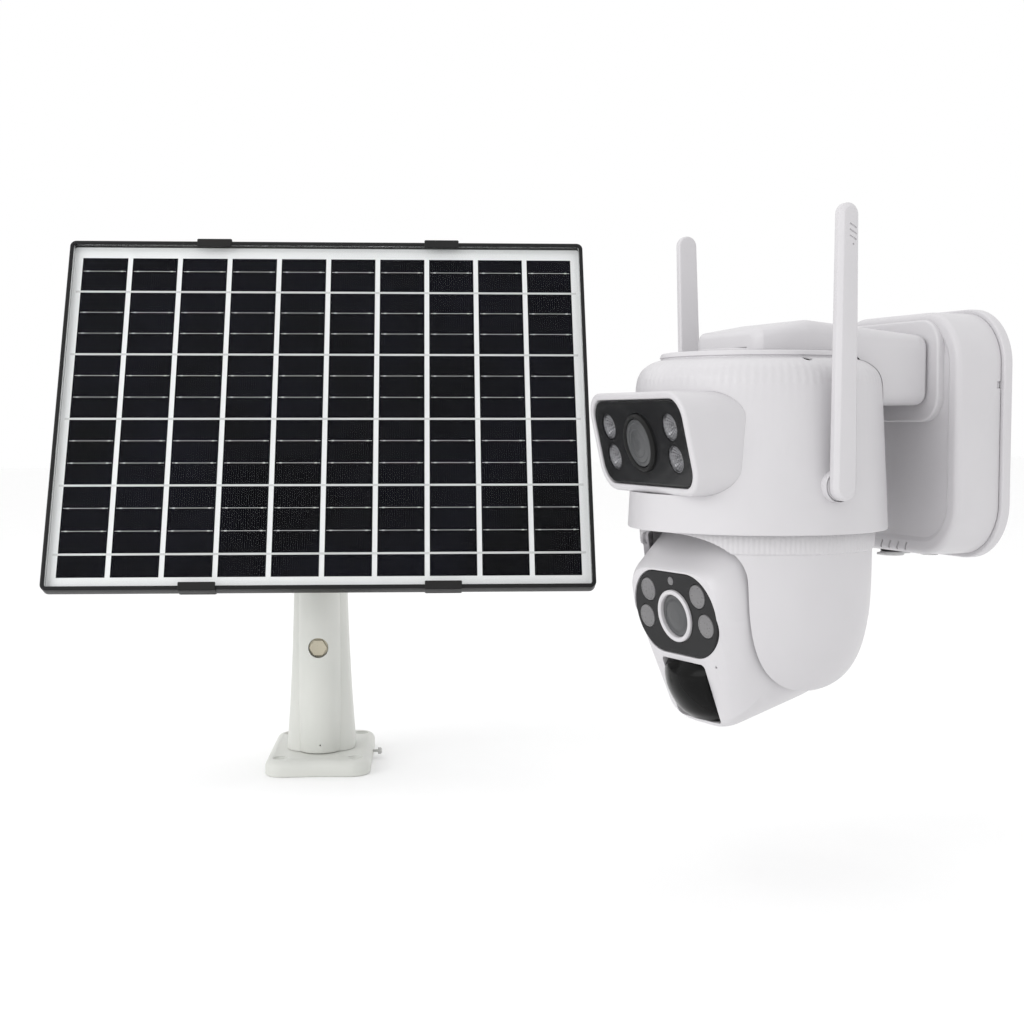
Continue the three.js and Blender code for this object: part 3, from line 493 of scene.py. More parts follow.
WHITE = grained("white_plastic", rgb(0.60, 0.588, 0.605), rgb(0.58, 0.568, 0.585), 0.38, 0.0004, 0.000004)
STAND_WHITE = grained(
    "stand_plastic", rgb(0.63, 0.635, 0.60), rgb(0.60, 0.61, 0.575), 0.46, 0.0005, 0.000006)
GLOSS_BLACK = grained(
    "black_gloss", rgb(0.014, 0.014, 0.015), rgb(0.017, 0.017, 0.018), 0.2, 0.0006, 0.000002,
    Specular_IOR_Level=0.1, Coat_Weight=0.1, Coat_Roughness=0.05)
SENSOR_BLACK = grained(
    "sensor_black", rgb(0.004, 0.004, 0.004), rgb(0.006, 0.006, 0.006), 0.2, 0.0006, 0.000002,
    Specular_IOR_Level=0.1)
BLACK = grained("black_plastic", rgb(0.014, 0.014, 0.014), rgb(0.018, 0.018, 0.018), 0.42, 0.0004, 0.000008,
              Specular_IOR_Level=0.15)
FRAME_BLACK = grained(
    "frame_metal", rgb(0.008, 0.008, 0.009), rgb(0.011, 0.011, 0.011), 0.4, 0.0003, 0.000004,
    Specular_IOR_Level=0.2)
STEEL = grained("steel", rgb(0.56, 0.56, 0.55), rgb(0.47, 0.47, 0.46), 0.3, 0.0005, 0.000006, Metallic=1.0)
CHROME = grained(
    "reflector", rgb(0.24, 0.24, 0.25), rgb(0.18, 0.18, 0.19), 0.22, 0.0005, 0.000002, Metallic=1.0)
MILKY = grained(
    "milky_lens", rgb(0.13, 0.127, 0.132), rgb(0.16, 0.156, 0.16), 0.3, 0.0012, 0.00001, Coat_Weight=0.2)
BOARD = grained("circuit_board", rgb(0.03, 0.13, 0.07), rgb(0.04, 0.16, 0.08), 0.4, 0.001, 0.00002)
RUBBER = grained("rubber", rgb(0.56, 0.56, 0.56), rgb(0.52, 0.52, 0.52), 0.7, 0.0004, 0.00001)
WRAP = grained("cell_wrap", rgb(0.05, 0.16, 0.40), rgb(0.06, 0.19, 0.45), 0.3, 0.002, 0.00002)
SHEET_WHITE = grained("solar_cells", rgb(0.93, 0.93, 0.95), rgb(0.90, 0.90, 0.92), 0.5, 0.0008, 0.000005)
SILVER = grained(
    "ribbon_silver", rgb(0.74, 0.74, 0.75), rgb(0.64, 0.64, 0.65), 0.4, 0.0008, 0.00001, Metallic=0.3)
BRASSY = grained(
    "bolt_zinc", rgb(0.50, 0.46, 0.36), rgb(0.42, 0.39, 0.31), 0.32, 0.0008, 0.00001, Metallic=0.8)
LENS_GREY = lens_finish("lens_glass", rgb(0.05, 0.051, 0.054), rgb(0.06, 0.062, 0.065), 0.02)
CELL = solar_cell_finish()
PANE = pane_finish()

finish_of_slot = {finish.name: finish for finish in (
    WHITE, STAND_WHITE, GLOSS_BLACK, BLACK, FRAME_BLACK, STEEL, CHROME, MILKY, BOARD, RUBBER, WRAP,
    SHEET_WHITE, LENS_GREY, PANE,
)}
for subpart in frame["record"]["subparts"]:
    node_mesh = frame["nodes"][subpart["node"]].data
    node_mesh.materials.clear()
    node_mesh.materials.append(finish_of_slot[subpart["material_slot"]])


# ---------------------------------------------------------------- wall box

BOX = {"width": 94, "height": 110, "depth": 28.3, "corner": 24}
PLATE = {"rim": 2, "thick": 4.5}
FLANGE = {"width": 72, "height": 46, "corner": 12, "z": 28.5, "thick": 2.6}
SOCKET_X, BUTTON_X, UNDERSIDE_Y = -14, 14, -16
box_bottom = -BOX["height"] / 2


def wall_plate():
    rim = PLATE["rim"]
    outline = rounded_rect(BOX["width"] + 2 * rim, BOX["height"] + 2 * rim, BOX["corner"] + rim, steps=20)
    plate = solid(slab(outline, 0, PLATE["thick"], 0.6, 1.2))
    holes = [
        shifted(rod(2.3, -1, 8, sides=32), x=x, z=z)
        for x in (-24, 24) for z in (-40, 40)
    ]
    show(cut(plate, *holes), "wall_plate_moulded", WALL, WHITE, "wall_unit", ["wall_plate"])


def box_shell():
    """Deep tray with a raised round rim on its front, a pad for the arm and holes in its underside."""
    back, front = PLATE["thick"] + GAP, BOX["depth"]
    rim_in, floor_in, sunk = 6.0, 8.0, 1.0
    outline = rounded_rect(BOX["width"], BOX["height"], BOX["corner"], steps=20)
    section = filleted(
        [(3, back), (0, back), (0, front), (rim_in, front), (floor_in, front - sunk), (11, front - sunk)],
        [0, 0.4, 4, 0.6, 0.8, 0], 6)
    pad = rounded_rect(FLANGE["width"], FLANGE["height"], FLANGE["corner"], y=FLANGE["z"], steps=12)
    shell = join(
        solid(swept(outline, section)),
        slab(pad, front - 4, front + FLANGE["thick"], 0.1, 1.6),
    )
    holes = [
        shifted(rod(r, -3, 5, "up", 48), x=x, y=UNDERSIDE_Y, z=box_bottom)
        for x, r in ((SOCKET_X, 4.8), (BUTTON_X, 4.3))
    ]
    latches = [block(side * 46, side * 48, -back - 2.2, -back + 1, 20.4, 23.6) for side in (-1, 1)]
    slot = tipped(block(-0.5, 0.5, -front - 2, -front + 1.2, -2.0, 2.0), 25, "Y")
    slots = [shifted(slot, x=-12 + 6 * n, z=box_bottom + 3.2) for n in range(5)]
    cut(shell, *holes, *latches, *slots)
    show(shell, "box_shell_moulded", WALL, WHITE, "wall_unit", ["box_shell"])


def socket_and_button():
    low = box_bottom - 1.3
    socket = solid(turned(filleted([
        (0, low + 8), (2.6, low + 8), (2.6, low), (5.5, low), (5.5, box_bottom - GAP),
        (4.5, box_bottom - GAP), (4.5, box_bottom + 8), (0, box_bottom + 8),
    ], 0.25, 3), "up", 64))
    at = moved(WALL, x=SOCKET_X, y=UNDERSIDE_Y)
    show(socket, "charge_socket_moulded", at, BLACK, "wall_unit", ["charge_socket"])
    pin = solid(turned(filleted([(0, low + 6), (0.6, low + 6), (0.6, low + 1), (0, low + 1)], 0.1), "up", 24))
    show(pin, "charge_pin", at, STEEL, "wall_unit")

    button = solid(turned(filleted([
        (0, low), (3.4, low + 0.35), (4, low + 0.35), (4, low + 4), (5.2, low + 4), (5.2, low + 5.3),
        (0, low + 5.3),
    ], [0, 0.3, 0.5, 0.1, 0.1, 0.1, 0], 4), "up", 64))
    show(button, "power_button_moulded", moved(WALL, x=BUTTON_X, y=UNDERSIDE_Y), BLACK, "power_button",
         ["power_button"])

    disc = turned(filleted([(0, 0), (5.8, 0), (5.8, 1.9), (0, 1.9)], 0.6), "up", 64)
    strap = slab(rounded_rect(4, 10, 1.2, y=5), 0.6, 1.8, 0.3, 0.3, "up")
    pull = slab(rounded_rect(4, 4, 1.5, y=-6.2), 0.4, 1.5, 0.3, 0.3, "up")
    hinge = joints["socket_cover_fold"]["pos_m"]
    cover_at = place((hinge[0], hinge[1] - 9 * MM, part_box("socket_cover")[0].z), (0, -1, 0))
    show(solid(disc, strap, pull), "socket_cover_moulded", cover_at, RUBBER, "socket_cover", ["socket_cover"])


# ---------------------------------------------------------------- arm and body

ARM = {"width": 60, "front": -18, "highest": 50, "back": 70.4, "back_top": 44.5, "back_bottom": 13,
       "riser": 22, "play": 0.35}
BODY_TOP, BODY_SEAM, SHELL = 36, -25.6, 2.4
ANTENNA = {"x": 60.6, "y": 2.3, "z": -21, "thick": 5, "top": 116, "bottom": 6, "left_lean": 2}
GUN_SIZE = {"width": 88, "height": 45, "corner": 12, "length": 31, "rear": -26}


# The round shoulder of the body, as (radius, z).
SHOULDER = smooth_line([(54.4, 21.4), (53.7, 25), (51.6, 28.8), (47.8, 31.6), (44.6, 32.8)], 8)


def arm_shell():
    """Arm whose top falls away to the back, on a deep rear part that is hollowed round the body."""
    underside, half, nose = 36.5, ARM["width"] / 2, 11
    top_line = filleted([
        (ARM["front"], underside + 0.6), (ARM["front"] + 1, 45.5), (8, ARM["highest"]),
        (ARM["back"] - 5, ARM["back_top"]),
    ], [0, 4, 12, 0], 12)

    def station(y, low, high, width):
        soft = min(6, (high - low) * 0.45)
        corners = [(width, high), (-width, high), (-width, low), (width, low)]
        outline = polygon(corners, [soft, soft, 0.5, 0.5])
        return [(x, y, z) for x, z in outline(0)]

    upper = []
    for y, top in top_line:
        from_nose = max(0.0, ARM["front"] + nose - y)
        width = half - nose + math.sqrt(nose ** 2 - from_nose ** 2)
        upper.append(station(y, underside, top, width))
    rear_high, rear_low = ARM["back_top"], ARM["back_bottom"]
    rear = slab(
        rounded_rect(2 * half, rear_high - rear_low, 6, y=(rear_high + rear_low) / 2),
        -ARM["back"], -ARM["riser"] - 5, 5, 0.1, steps=6)
    arm = join(solid(lofted(upper)), rear)
    outside = [(57.0, BODY_SEAM), *SHOULDER, (42.6, 35.4), (41.6, BODY_TOP)]
    hollow = [(r + ARM["play"], z) for r, z in outside]
    cut(arm, turned([(0, BODY_SEAM), *hollow, (0, BODY_TOP)], "up", 192),
        rod(26.3, 30, 38, "up", 128))
    show(arm, "arm_moulded", BODY, WHITE, "wall_unit", ["arm_shell"])


def gun_room():
    """The room the upper lens housing takes in the body, in the body's own place."""
    gun_at = BODY.inverted() @ GUN.translation / MM
    upright = math.cos(math.atan(GUN_LEAN))
    play = 0.1
    outline = rounded_rect(
        GUN_SIZE["width"] + play, GUN_SIZE["height"] + play, GUN_SIZE["corner"], steps=16)
    ring = [(u, gun_at.z + v * upright) for u, v in outline(0)]
    return lofted([[(u, y, v) for u, v in ring] for y in (-90, GUN_SIZE["rear"])])


def neck_and_body():
    neck = solid(turned(filleted(
        [(8, 36.3), (26, 36.3), (26, 37.7), (8, 37.7)], 0.4, 4, closed=True), "up", 128, loop=True))
    show(neck, "neck_ring_turned", BODY, WHITE, "wall_unit", ["neck_ring"])

    # The side goes up to a ribbed round shoulder, then a fine groove and a flat cap.
    groove = [(43.4, 32.9), (43.2, 33.6), (43.8, 34.0)]
    cap = filleted([groove[-1], (43.0, BODY_TOP), (8, BODY_TOP)], [0, 1.0, 0], 4)
    bottom = filleted([(55.4, -41.5), (57.8, -41.5), (57.0, BODY_SEAM)], [0, 0.6, 0], 4)
    side = [*bottom, (54.5, 20.6), *SHOULDER, *groove, *cap[1:]]
    outside = [*SHOULDER[::-4], (54.5, 20.6), (57.0, BODY_SEAM)]
    inner = [(r - SHELL, min(z, BODY_TOP - SHELL)) for r, z in outside]
    line = [*side, (8, BODY_TOP - SHELL), *inner]
    ribs_low, ribs_high = 48.6, 54.45

    def rib_share(inset):
        return 1.0 if ribs_low < -inset < ribs_high else 0.0
    body = solid(swept(
        ribbed_circle(0, 96, 0.22, rib_share, per_rib=4), [(-r, z) for r, z in line], "up", loop=True))
    pit = rod(2.2, 25, 40, "up", 32)
    cut(body, gun_room(), shifted(pit, 45.8, -4.8), shifted(pit, -45.8, 4.8))
    show(body, "body_moulded", BODY, WHITE, "wall_unit", ["body_shell", "skirt_ring"])

    # Each antenna hangs on a boss with a fine dark gap round its inner disc.
    for name, side in (("left", -1), ("right", 1)):
        boss = shifted(turned(filleted([
            (0, 48), (6.8, 48), (6.8, 60.3), (6.55, 60.3), (6.55, 58.2), (6.1, 58.2), (6.1, 60.3), (0, 60.3),
        ], 0.1, 3), "side", 72), y=ANTENNA["y"], z=ANTENNA["z"])
        boss = solid(boss if side > 0 else mirrored(boss))
        show(boss, f"antenna_boss_{name}", BODY, WHITE, "wall_unit")


# ---------------------------------------------------------------- upper lens housing

GUN_PANEL = {"width": 81, "height": 37.5, "corner": 9, "thick": 2, "sunk": 0.8}
GUN_LENS = {"ring": 12.8, "glass": 10.6, "proud": 1.4}
GUN_LED = {"radius": 5.9, "across": 28, "up": 6.9}


def reflector(radius, facets=40, rows=7):
    """Dish of small stepped facets, closing to a point at its bottom; the round chip dome is made as a piece of
    its own.
    """
    rings = [[LIE["front"](u, v, -5.2) for u, v in circle(radius - 1.6, facets)(0)]]
    rings.append([LIE["front"](u, v, -1.0) for u, v in circle(radius, facets)(0)])
    rings.append([LIE["front"](u, v, -1.0) for u, v in circle(radius - 0.35, facets)(0)])
    for row in range(rows):
        reach = (radius - 0.4) * (1 - row / (rows - 0.2)) + 0.5
        depth = -1.2 - 2.6 * (1 - ((reach - 0.5) / radius) ** 2)
        for step in (0.0, 0.25):
            ring = circle(reach - step * 0.8, facets)(0)
            dip = [step + (0.18 if i % 2 else 0.0) for i in range(facets)]
            rings.append([LIE["front"](u, v, depth - d) for (u, v), d in zip(ring, dip)])
    rings.append([LIE["front"](u, v, -4.3) for u, v in circle(0.3, facets)(0)])
    return lofted(rings)


def gun():
    width = GUN_SIZE["width"]
    outline = rounded_rect(width, GUN_SIZE["height"], GUN_SIZE["corner"], steps=16)
    inner = GUN_PANEL["width"] + 2 * GAP
    rim = (width - inner) / 2
    back = -GUN_SIZE["length"]
    section = [(0, back), (0, 0), (rim, 0), (rim, -5.5), (rim + 1.5, -5.5), (rim + 1.5, back)]
    housing = solid(levelled(tube(outline, section, [0.3, 2.2, 0.8, 0.3, 0.3, 0.3], steps=6)))
    show(housing, "gun_housing_moulded", GUN, WHITE, "wall_unit", ["gun_housing"])

    low, high = -GUN_PANEL["sunk"] - GUN_PANEL["thick"], -GUN_PANEL["sunk"]
    face = rounded_rect(GUN_PANEL["width"], GUN_PANEL["height"], GUN_PANEL["corner"], steps=12)
    panel = solid(levelled(slab(face, low, high, 0.2, 0.7)))
    signs = ((-1, 1), (1, 1), (-1, -1), (1, -1))
    spots = [(side * GUN_LED["across"], up * GUN_LED["up"]) for side, up in signs]
    bores = [shifted(rod(GUN_LED["radius"] + GAP, -10, 10), x=x, z=z) for x, z in spots]
    lens_bore = rod(GUN_LENS["ring"] + GAP, -10, 10)
    cut(panel, lens_bore, *bores)
    show(panel, "gun_panel_polished", GUN, GLOSS_BLACK, "wall_unit", ["gun_face_panel"])

    for n, (x, z) in enumerate(spots, 1):
        at = moved(GUN, x=x, z=z)
        show(solid(reflector(GUN_LED["radius"])), f"gun_reflector_{n}", at, CHROME, "wall_unit",
             [f"gun_led_{n}"], crease=12)
        chip_line = [(0, -4.6), (1.5, -4.6), (1.5, -3.9), (0.9, -3.3), (0, -3.1)]
        chip = solid(turned(filleted(chip_line, [0, 0.1, 0.5, 0.4, 0], 4), sides=32))
        show(chip, f"gun_led_chip_{n}", moved(at, x=0.5, z=0.3), MILKY, "wall_unit")

    glass, ring = GUN_LENS["glass"], GUN_LENS["ring"]
    proud = GUN_LENS["proud"]
    barrel = solid(turned(filleted([
        (glass + GAP, -6.8), (ring, -6.8), (ring, proud - 1.4), (ring - 0.7, proud), (ring - 1.4, proud),
        (glass + GAP, proud - 0.9),
    ], 0.3, 3, closed=True), loop=True))
    show(barrel, "gun_lens_barrel", GUN, BLACK, "wall_unit", ["gun_lens_ring"])
    dome = solid(turned(filleted([
        (0, -3), (glass, -3), (glass, 0.6), (8.9, 0.8), (8.6, 0.6),
        (6.4, 1.2), (6.1, 1.1), (3.6, 1.6), (0, 1.8),
    ], [0, 0.1, 0.4, 0.1, 0.2, 0.2, 0.1, 0.8, 0], 3)))
    show(dome, "gun_lens_dome", GUN, LENS_GREY, "wall_unit", ["gun_lens_glass"])


# ---------------------------------------------------------------- antennas

def antenna(name, side, lean):
    """Flat blade with a chamfered outer edge and three slanted grip grooves near its tip."""
    top, bottom = 4.8, 5.75
    half_turn = [math.pi * step / 24 for step in range(25)]

    def outline(inset):
        tip = [((top - inset) * math.cos(a), (top - inset) * math.sin(a)) for a in half_turn]
        heel = [(-(bottom - inset) * math.cos(a), -(bottom - inset) * math.sin(a)) for a in half_turn]
        return [
            *((u, v + ANTENNA["top"] - top) for u, v in tip),
            *((u, v + bottom - ANTENNA["bottom"]) for u, v in heel),
        ]
    thick = ANTENNA["thick"]
    section = filleted(
        [(2.6, 0), (0, 0), (0, thick - 1.9), (1.7, thick - 0.1), (3.2, thick)], [0, 0.8, 0.6, 0.7, 0], 5)
    groove = tipped(block(thick - 0.45, thick + 1, -0.7, 3.1, -0.35, 0.35), -28, "X")
    grooves = [shifted(groove, z=ANTENNA["top"] - 9 - 2.4 * n) for n in range(3)]
    dot = shifted(rod(0.45, thick - 0.45, thick + 1, "side", 16), y=1.2, z=ANTENNA["top"] - 17)
    pin = rod(3, -6, 0.5, "side", 48, soft=0.3)
    blade, *tools = [
        skin if side > 0 else mirrored(skin) for skin in (swept(outline, section, "side"), *grooves, dot, pin)
    ]
    at = moved(BODY, side * ANTENNA["x"], ANTENNA["y"], ANTENNA["z"])
    at = at @ Matrix.Rotation(math.radians(lean), 4, "X")
    whole = join(cut(solid(blade), *tools[:-1]), tools[-1])
    show(whole, f"antenna_blade_{name}", at, WHITE, f"antenna_{name}", [f"antenna_{name}"])


# ---------------------------------------------------------------- lower head

BOWL = {"radius": 51, "top": -30.3, "straight": -46, "bottom": -118.5, "flare": 1.4, "squareness": 3.5}
SLOT = {"half": 37.5, "crown": -42, "spring": -66, "rear_top": -80, "squareness": 2.9}


def bowl():
    """A squared half circle under a short cylinder, with an arched slot from the front under it."""
    def line(inset):
        radius = BOWL["radius"] - inset
        drop = BOWL["straight"] - BOWL["bottom"] - inset
        curve = [
            (radius * across, BOWL["straight"] - drop * down)
            for across, down in squared_quarter(BOWL["squareness"], 40)
        ]
        return curve + [(radius + BOWL["flare"], BOWL["top"] + (1 if inset else 0))]
    skin = solid(turned([*line(0), (0, BOWL["top"])], "up", 192))
    hollow = turned([*line(SHELL), (0, BOWL["top"] + 1)], "up", 192)
    half, spring, crown = SLOT["half"], SLOT["spring"], SLOT["crown"]
    right = [
        (half * across, spring + (crown - spring) * up)
        for across, up in squared_quarter(SLOT["squareness"], 24)
    ]
    right.append((half, BOWL["bottom"] - 10))
    arch = right + [(-x, z) for x, z in right[:0:-1]]
    front_slot = lofted([[LIE["front"](x, z, level) for x, z in arch] for level in (-1, 80)])
    under_slot = block(-half, half, -2, 80, BOWL["bottom"] - 16, SLOT["rear_top"])
    cut(skin, hollow, front_slot, under_slot)
    eased(skin, 0.7, 50, 3)
    show(skin, "bowl_moulded", HEAD, WHITE, "pan_head", ["yoke_bowl"])
    ribs = solid(tube(
        ribbed_circle(BOWL["radius"] + 1.5, 150, 0.3, per_rib=4),
        [(0, -41.5), (0.5, -49.5), (1.5, -50.4), (3, -50.4), (2.6, -41.5)], 0.05, "up", 2))
    cut(ribs, front_slot)
    show(ribs, "bowl_ribs", HEAD, WHITE, "pan_head")


# ---------------------------------------------------------------- tilting ball

BALL_HALF, BALL_SQUARENESS, BALL_WALL = 36.9, 5, 2.8
BALL_CHIN = {"from": -8, "reach": 41, "squareness": 2.5}   # how the ball narrows downwards
# The ball's outline from the side as (y, z), and the round of each corner.
BALL_SIDE = [(-43, 25), (-43, 10.6), (-33.3, -46), (16, -39.6), (39, -14), (39, 18), (18, 43), (-14, 46)]
BALL_ROUNDS = [14, 25, 6, 26, 24, 24, 22, 24]
BALL_FACE, BALL_SPLIT = -39.3, 10
BALL_PANEL = {"width": 59, "height": 37.1, "z": 7.7, "thick": 1.4, "seat": 2}
BALL_LENS = {"z": 6.7, "ring": 11.7, "glass": 9.3, "proud": 1.0}
BALL_LED = {"radius": 5.2, "high": (17.9, 17.1), "low": (21.4, 4.4)}
PIR = {"half": 15.2, "bow": 24, "thick": 2.2, "bottom": -41.6, "top": -14}
PIR_LINE = [(35, PIR["bottom"]), (39.6, -36), (43, -27), (42.8, -19), (39, PIR["top"])]
chin_lean = math.degrees(math.atan2(9.7, 56.6))   # how far the ball's lower front leans back


def chin_narrowing(z):
    share = max(0.0, BALL_CHIN["from"] - z) / BALL_CHIN["reach"]
    return (1 - share ** BALL_CHIN["squareness"]) ** (1 / BALL_CHIN["squareness"])


def ball_form(inset, steps=24):
    """The ball's skin drawn in by an inset: its side outline carried across, with the ends rounded
    off and the lower part narrowing."""
    half = BALL_HALF - inset
    drawn_in = 1 - inset / BALL_HALF
    outline = filleted(BALL_SIDE, BALL_ROUNDS, 10, closed=True)
    end = squared_quarter(BALL_SQUARENESS, steps)[:-1]
    levels = [(-across, size) for across, size in end[:0:-1]] + end
    rings = []
    for across, size in levels:
        ring = [(y * size * drawn_in, z * size * drawn_in) for y, z in outline]
        rings.append([(half * across * chin_narrowing(z), y, z) for y, z in ring])
    return lofted(rings)


def ball_hollow():
    inside = solid(ball_form(BALL_WALL, 16))
    return cut(inside, cut_off(-80, BALL_FACE + BALL_PANEL["seat"] + 1.5))


def cut_off(y0, y1):
    """The tool that takes everything between two depths off the ball."""
    return block(-60, 60, y0, y1, -80, 80)


def stadium(width, height):
    return rounded_rect(width, height, height / 2 - 0.05, y=BALL_PANEL["z"], steps=20)


def on_lower_front(skin, z):
    """Sets a skin drawn on a plain front onto the ball's leaning lower front at a height."""
    front_y, front_z = BALL_SIDE[1]
    back = (front_z - z) * math.tan(math.radians(chin_lean))
    return shifted(tipped(skin, chin_lean, "X"), y=front_y + back, z=z)


def ball_shells():
    width, height, seat = BALL_PANEL["width"], BALL_PANEL["height"], BALL_PANEL["seat"]
    pir_middle = (PIR["top"] + PIR["bottom"]) / 2
    pir_window = rounded_rect(
        2 * (PIR["half"] + GAP), PIR["top"] - PIR["bottom"] + 2 * GAP, 2.2, y=pir_middle)
    pocket = slab(rounded_rect(7, 17, 3.4, x=-PIR["half"] - 4.6), -1.2, 8)
    front = combine(solid(ball_form(0)), [ball_hollow()], "DIFFERENCE")
    cut(
        front,
        cut_off(BALL_SPLIT, 80),
        cut_off(-80, BALL_FACE),
        slab(stadium(width + 2 * GAP, height + 2 * GAP), -BALL_FACE - seat, -BALL_FACE + 10),
        slab(stadium(width - 2, height - 2), -BALL_FACE - 12, -BALL_FACE + 10),
        slab(pir_window, 26, 90),
        on_lower_front(pocket, pir_middle + 2),
    )
    mic = shifted(rod(0.6, 20, 60, sides=16), x=22.5, z=-14)
    cut(front, mic)
    eased(front, 0.5, 40, 3)
    show(front, "ball_front_moulded", BALL, WHITE, "tilt_ball", ["ball_front_shell"])

    rear = combine(solid(ball_form(0)), [ball_hollow()], "DIFFERENCE")
    cut(rear, cut_off(-80, BALL_SPLIT + GAP))
    eased(rear, 0.4, 50, 2)
    show(rear, "ball_rear_moulded", BALL, WHITE, "tilt_ball", ["ball_rear_shell"])


def ball_face():
    """The black panel with four round lights, the lens in its white ring and the light sensor."""
    level = BALL_PANEL["seat"] - GAP
    at = moved(BALL, y=BALL_FACE)
    outline = stadium(BALL_PANEL["width"], BALL_PANEL["height"])
    panel = slab(outline, -level, BALL_PANEL["thick"] - level, 0.1, 0.4)
    spots = [(side * x, z) for side in (-1, 1) for x, z in (BALL_LED["high"], BALL_LED["low"])]
    radius, glass, ring = BALL_LED["radius"], BALL_LENS["glass"], BALL_LENS["ring"]

    def bore(reach, x, z):
        return shifted(rod(reach + GAP, -10, 10), x=x, z=z)
    bores = [bore(radius, x, z) for x, z in spots] + [bore(ring, 0, BALL_LENS["z"])]
    show(cut(solid(panel), *bores), "ball_panel_polished", at, GLOSS_BLACK, "tilt_ball", ["ball_face_panel"])

    for n, (x, z) in enumerate(spots, 1):
        disc = solid(turned(filleted(
            [(0, -4), (radius, -4), (radius, 0), (radius - 0.7, 0), (radius - 1.0, -0.2), (0, 0.15)],
            [0, 0.1, 0.3, 0.2, 0.2, 0], 3)))
        show(disc, f"ball_led_disc_{n}", moved(at, x=x, z=z), MILKY, "tilt_ball", [f"ball_led_{n}"])

    lens_at = moved(at, z=BALL_LENS["z"])
    proud = BALL_LENS["proud"]
    rim = solid(turned(filleted([
        (glass + GAP, -6), (ring, -6), (ring, proud - 0.5), (ring - 0.6, proud), (glass + 0.9, proud),
        (glass + GAP, proud - 0.5),
    ], 0.35, 4, closed=True), loop=True))
    show(rim, "ball_lens_rim", lens_at, WHITE, "tilt_ball", ["ball_lens_ring"])
    dome = solid(turned(filleted(
        [(0, -4), (glass, -4), (glass, -0.6), (glass - 1.6, -0.9), (6.4, -0.4), (3, 0.1), (0, 0.2)],
        [0, 0.1, 0.4, 0.8, 2, 2, 0], 4)))
    show(dome, "ball_lens_dome", lens_at, LENS_GREY, "tilt_ball", ["ball_lens_glass"])

    sensor = solid(turned(filleted([(0, -3), (1.9, -3), (1.9, 0), (0, 0.1)], [0, 0.1, 0.3, 0], 3), sides=40))
    show(sensor, "light_sensor", moved(lens_at, z=15.7), MILKY, "tilt_ball")


def pir_dome():
    """The motion sensor's lens: a bowed shell that swells out of its window, with a slanted top ledge."""
    across = [PIR["half"] * step / 16 for step in range(-16, 17)]
    rings = []
    for forward, z in smooth_line(PIR_LINE, 8):
        outside = [(x, x * x / (2 * PIR["bow"]) - forward, z) for x in across]
        rings.append(outside + [(x, y + PIR["thick"], z) for x, y, z in outside[::-1]])
    dome = eased(solid(lofted(rings)), 0.5, 40, 3)
    show(dome, "motion_sensor_dome", BALL, SENSOR_BLACK, "tilt_ball", ["pir_dome"])


# ---------------------------------------------------------------- stand

BASE = {"width": 60, "length": 92, "thick": 9, "corner": 11, "hole_x": 21.5, "hole_y": 34}
COLUMN = {"foot": 20, "waist": 15, "top": 150, "rib": 12.5, "rib_front": -26.5}
POST = {"radius": 10.2, "bottom": 62, "shoulder": 168, "tab": 12, "tab_radius": 13}
CLAMP_Z, SIDE_SCREW_Z, PIVOT_Z = 71, 4.2, 190.9
BOLT_HOLE = 4.3                  # radius of the hole for the tilt bolt


def stand_base():
    """Foot plate with a broad soft rim, a slightly hollow front edge and four countersunk holes."""
    w, h = BASE["width"] / 2, BASE["length"] / 2
    corner = BASE["corner"]
    outline = polygon(
        [(w, h), (-w, h), (-w, -h), (0, -h + 1.6), (w, -h)], [corner, corner, corner, 60, corner], 12)
    section = filleted([(12, 0), (0, 0), (0, BASE["thick"]), (12, BASE["thick"])], [0, 0.8, 4.2, 0], 8)
    plate = solid(swept(outline, section, "up"))
    thick = BASE["thick"]
    hole = turned([
        (0, -1), (2.3, -1), (2.3, thick - 2.4), (4.3, thick - 0.4), (4.3, thick + 1), (0, thick + 1),
    ], "up", 40)
    holes = [
        shifted(hole, x=side * BASE["hole_x"], y=end * BASE["hole_y"]) for side in (-1, 1) for end in (-1, 1)
    ]
    cut(plate, *holes)
    eased(plate, 0.3, 50, 2)
    show(plate, "foot_plate_moulded", STAND, STAND_WHITE, "wall_unit", ["stand_base"])

    profile = [(0, 24), (0.8, 24), (0.8, 33), (2, 33), (2, 34.8), (1.2, 35.4), (0, 35.4)]
    screw = solid(tipped(turned(filleted(profile, 0.2, 3), "up", 32), 90, "Y"))
    at = moved(STAND, y=4, z=SIDE_SCREW_Z)
    show(screw, "side_screw_turned", at, STEEL, "wall_unit", ["base_side_screw"])


def column_skin(share):
    """Half width of the column, from its flared foot up to its waist."""
    return COLUMN["waist"] + (COLUMN["foot"] - COLUMN["waist"]) * (1 - share) ** 2.2


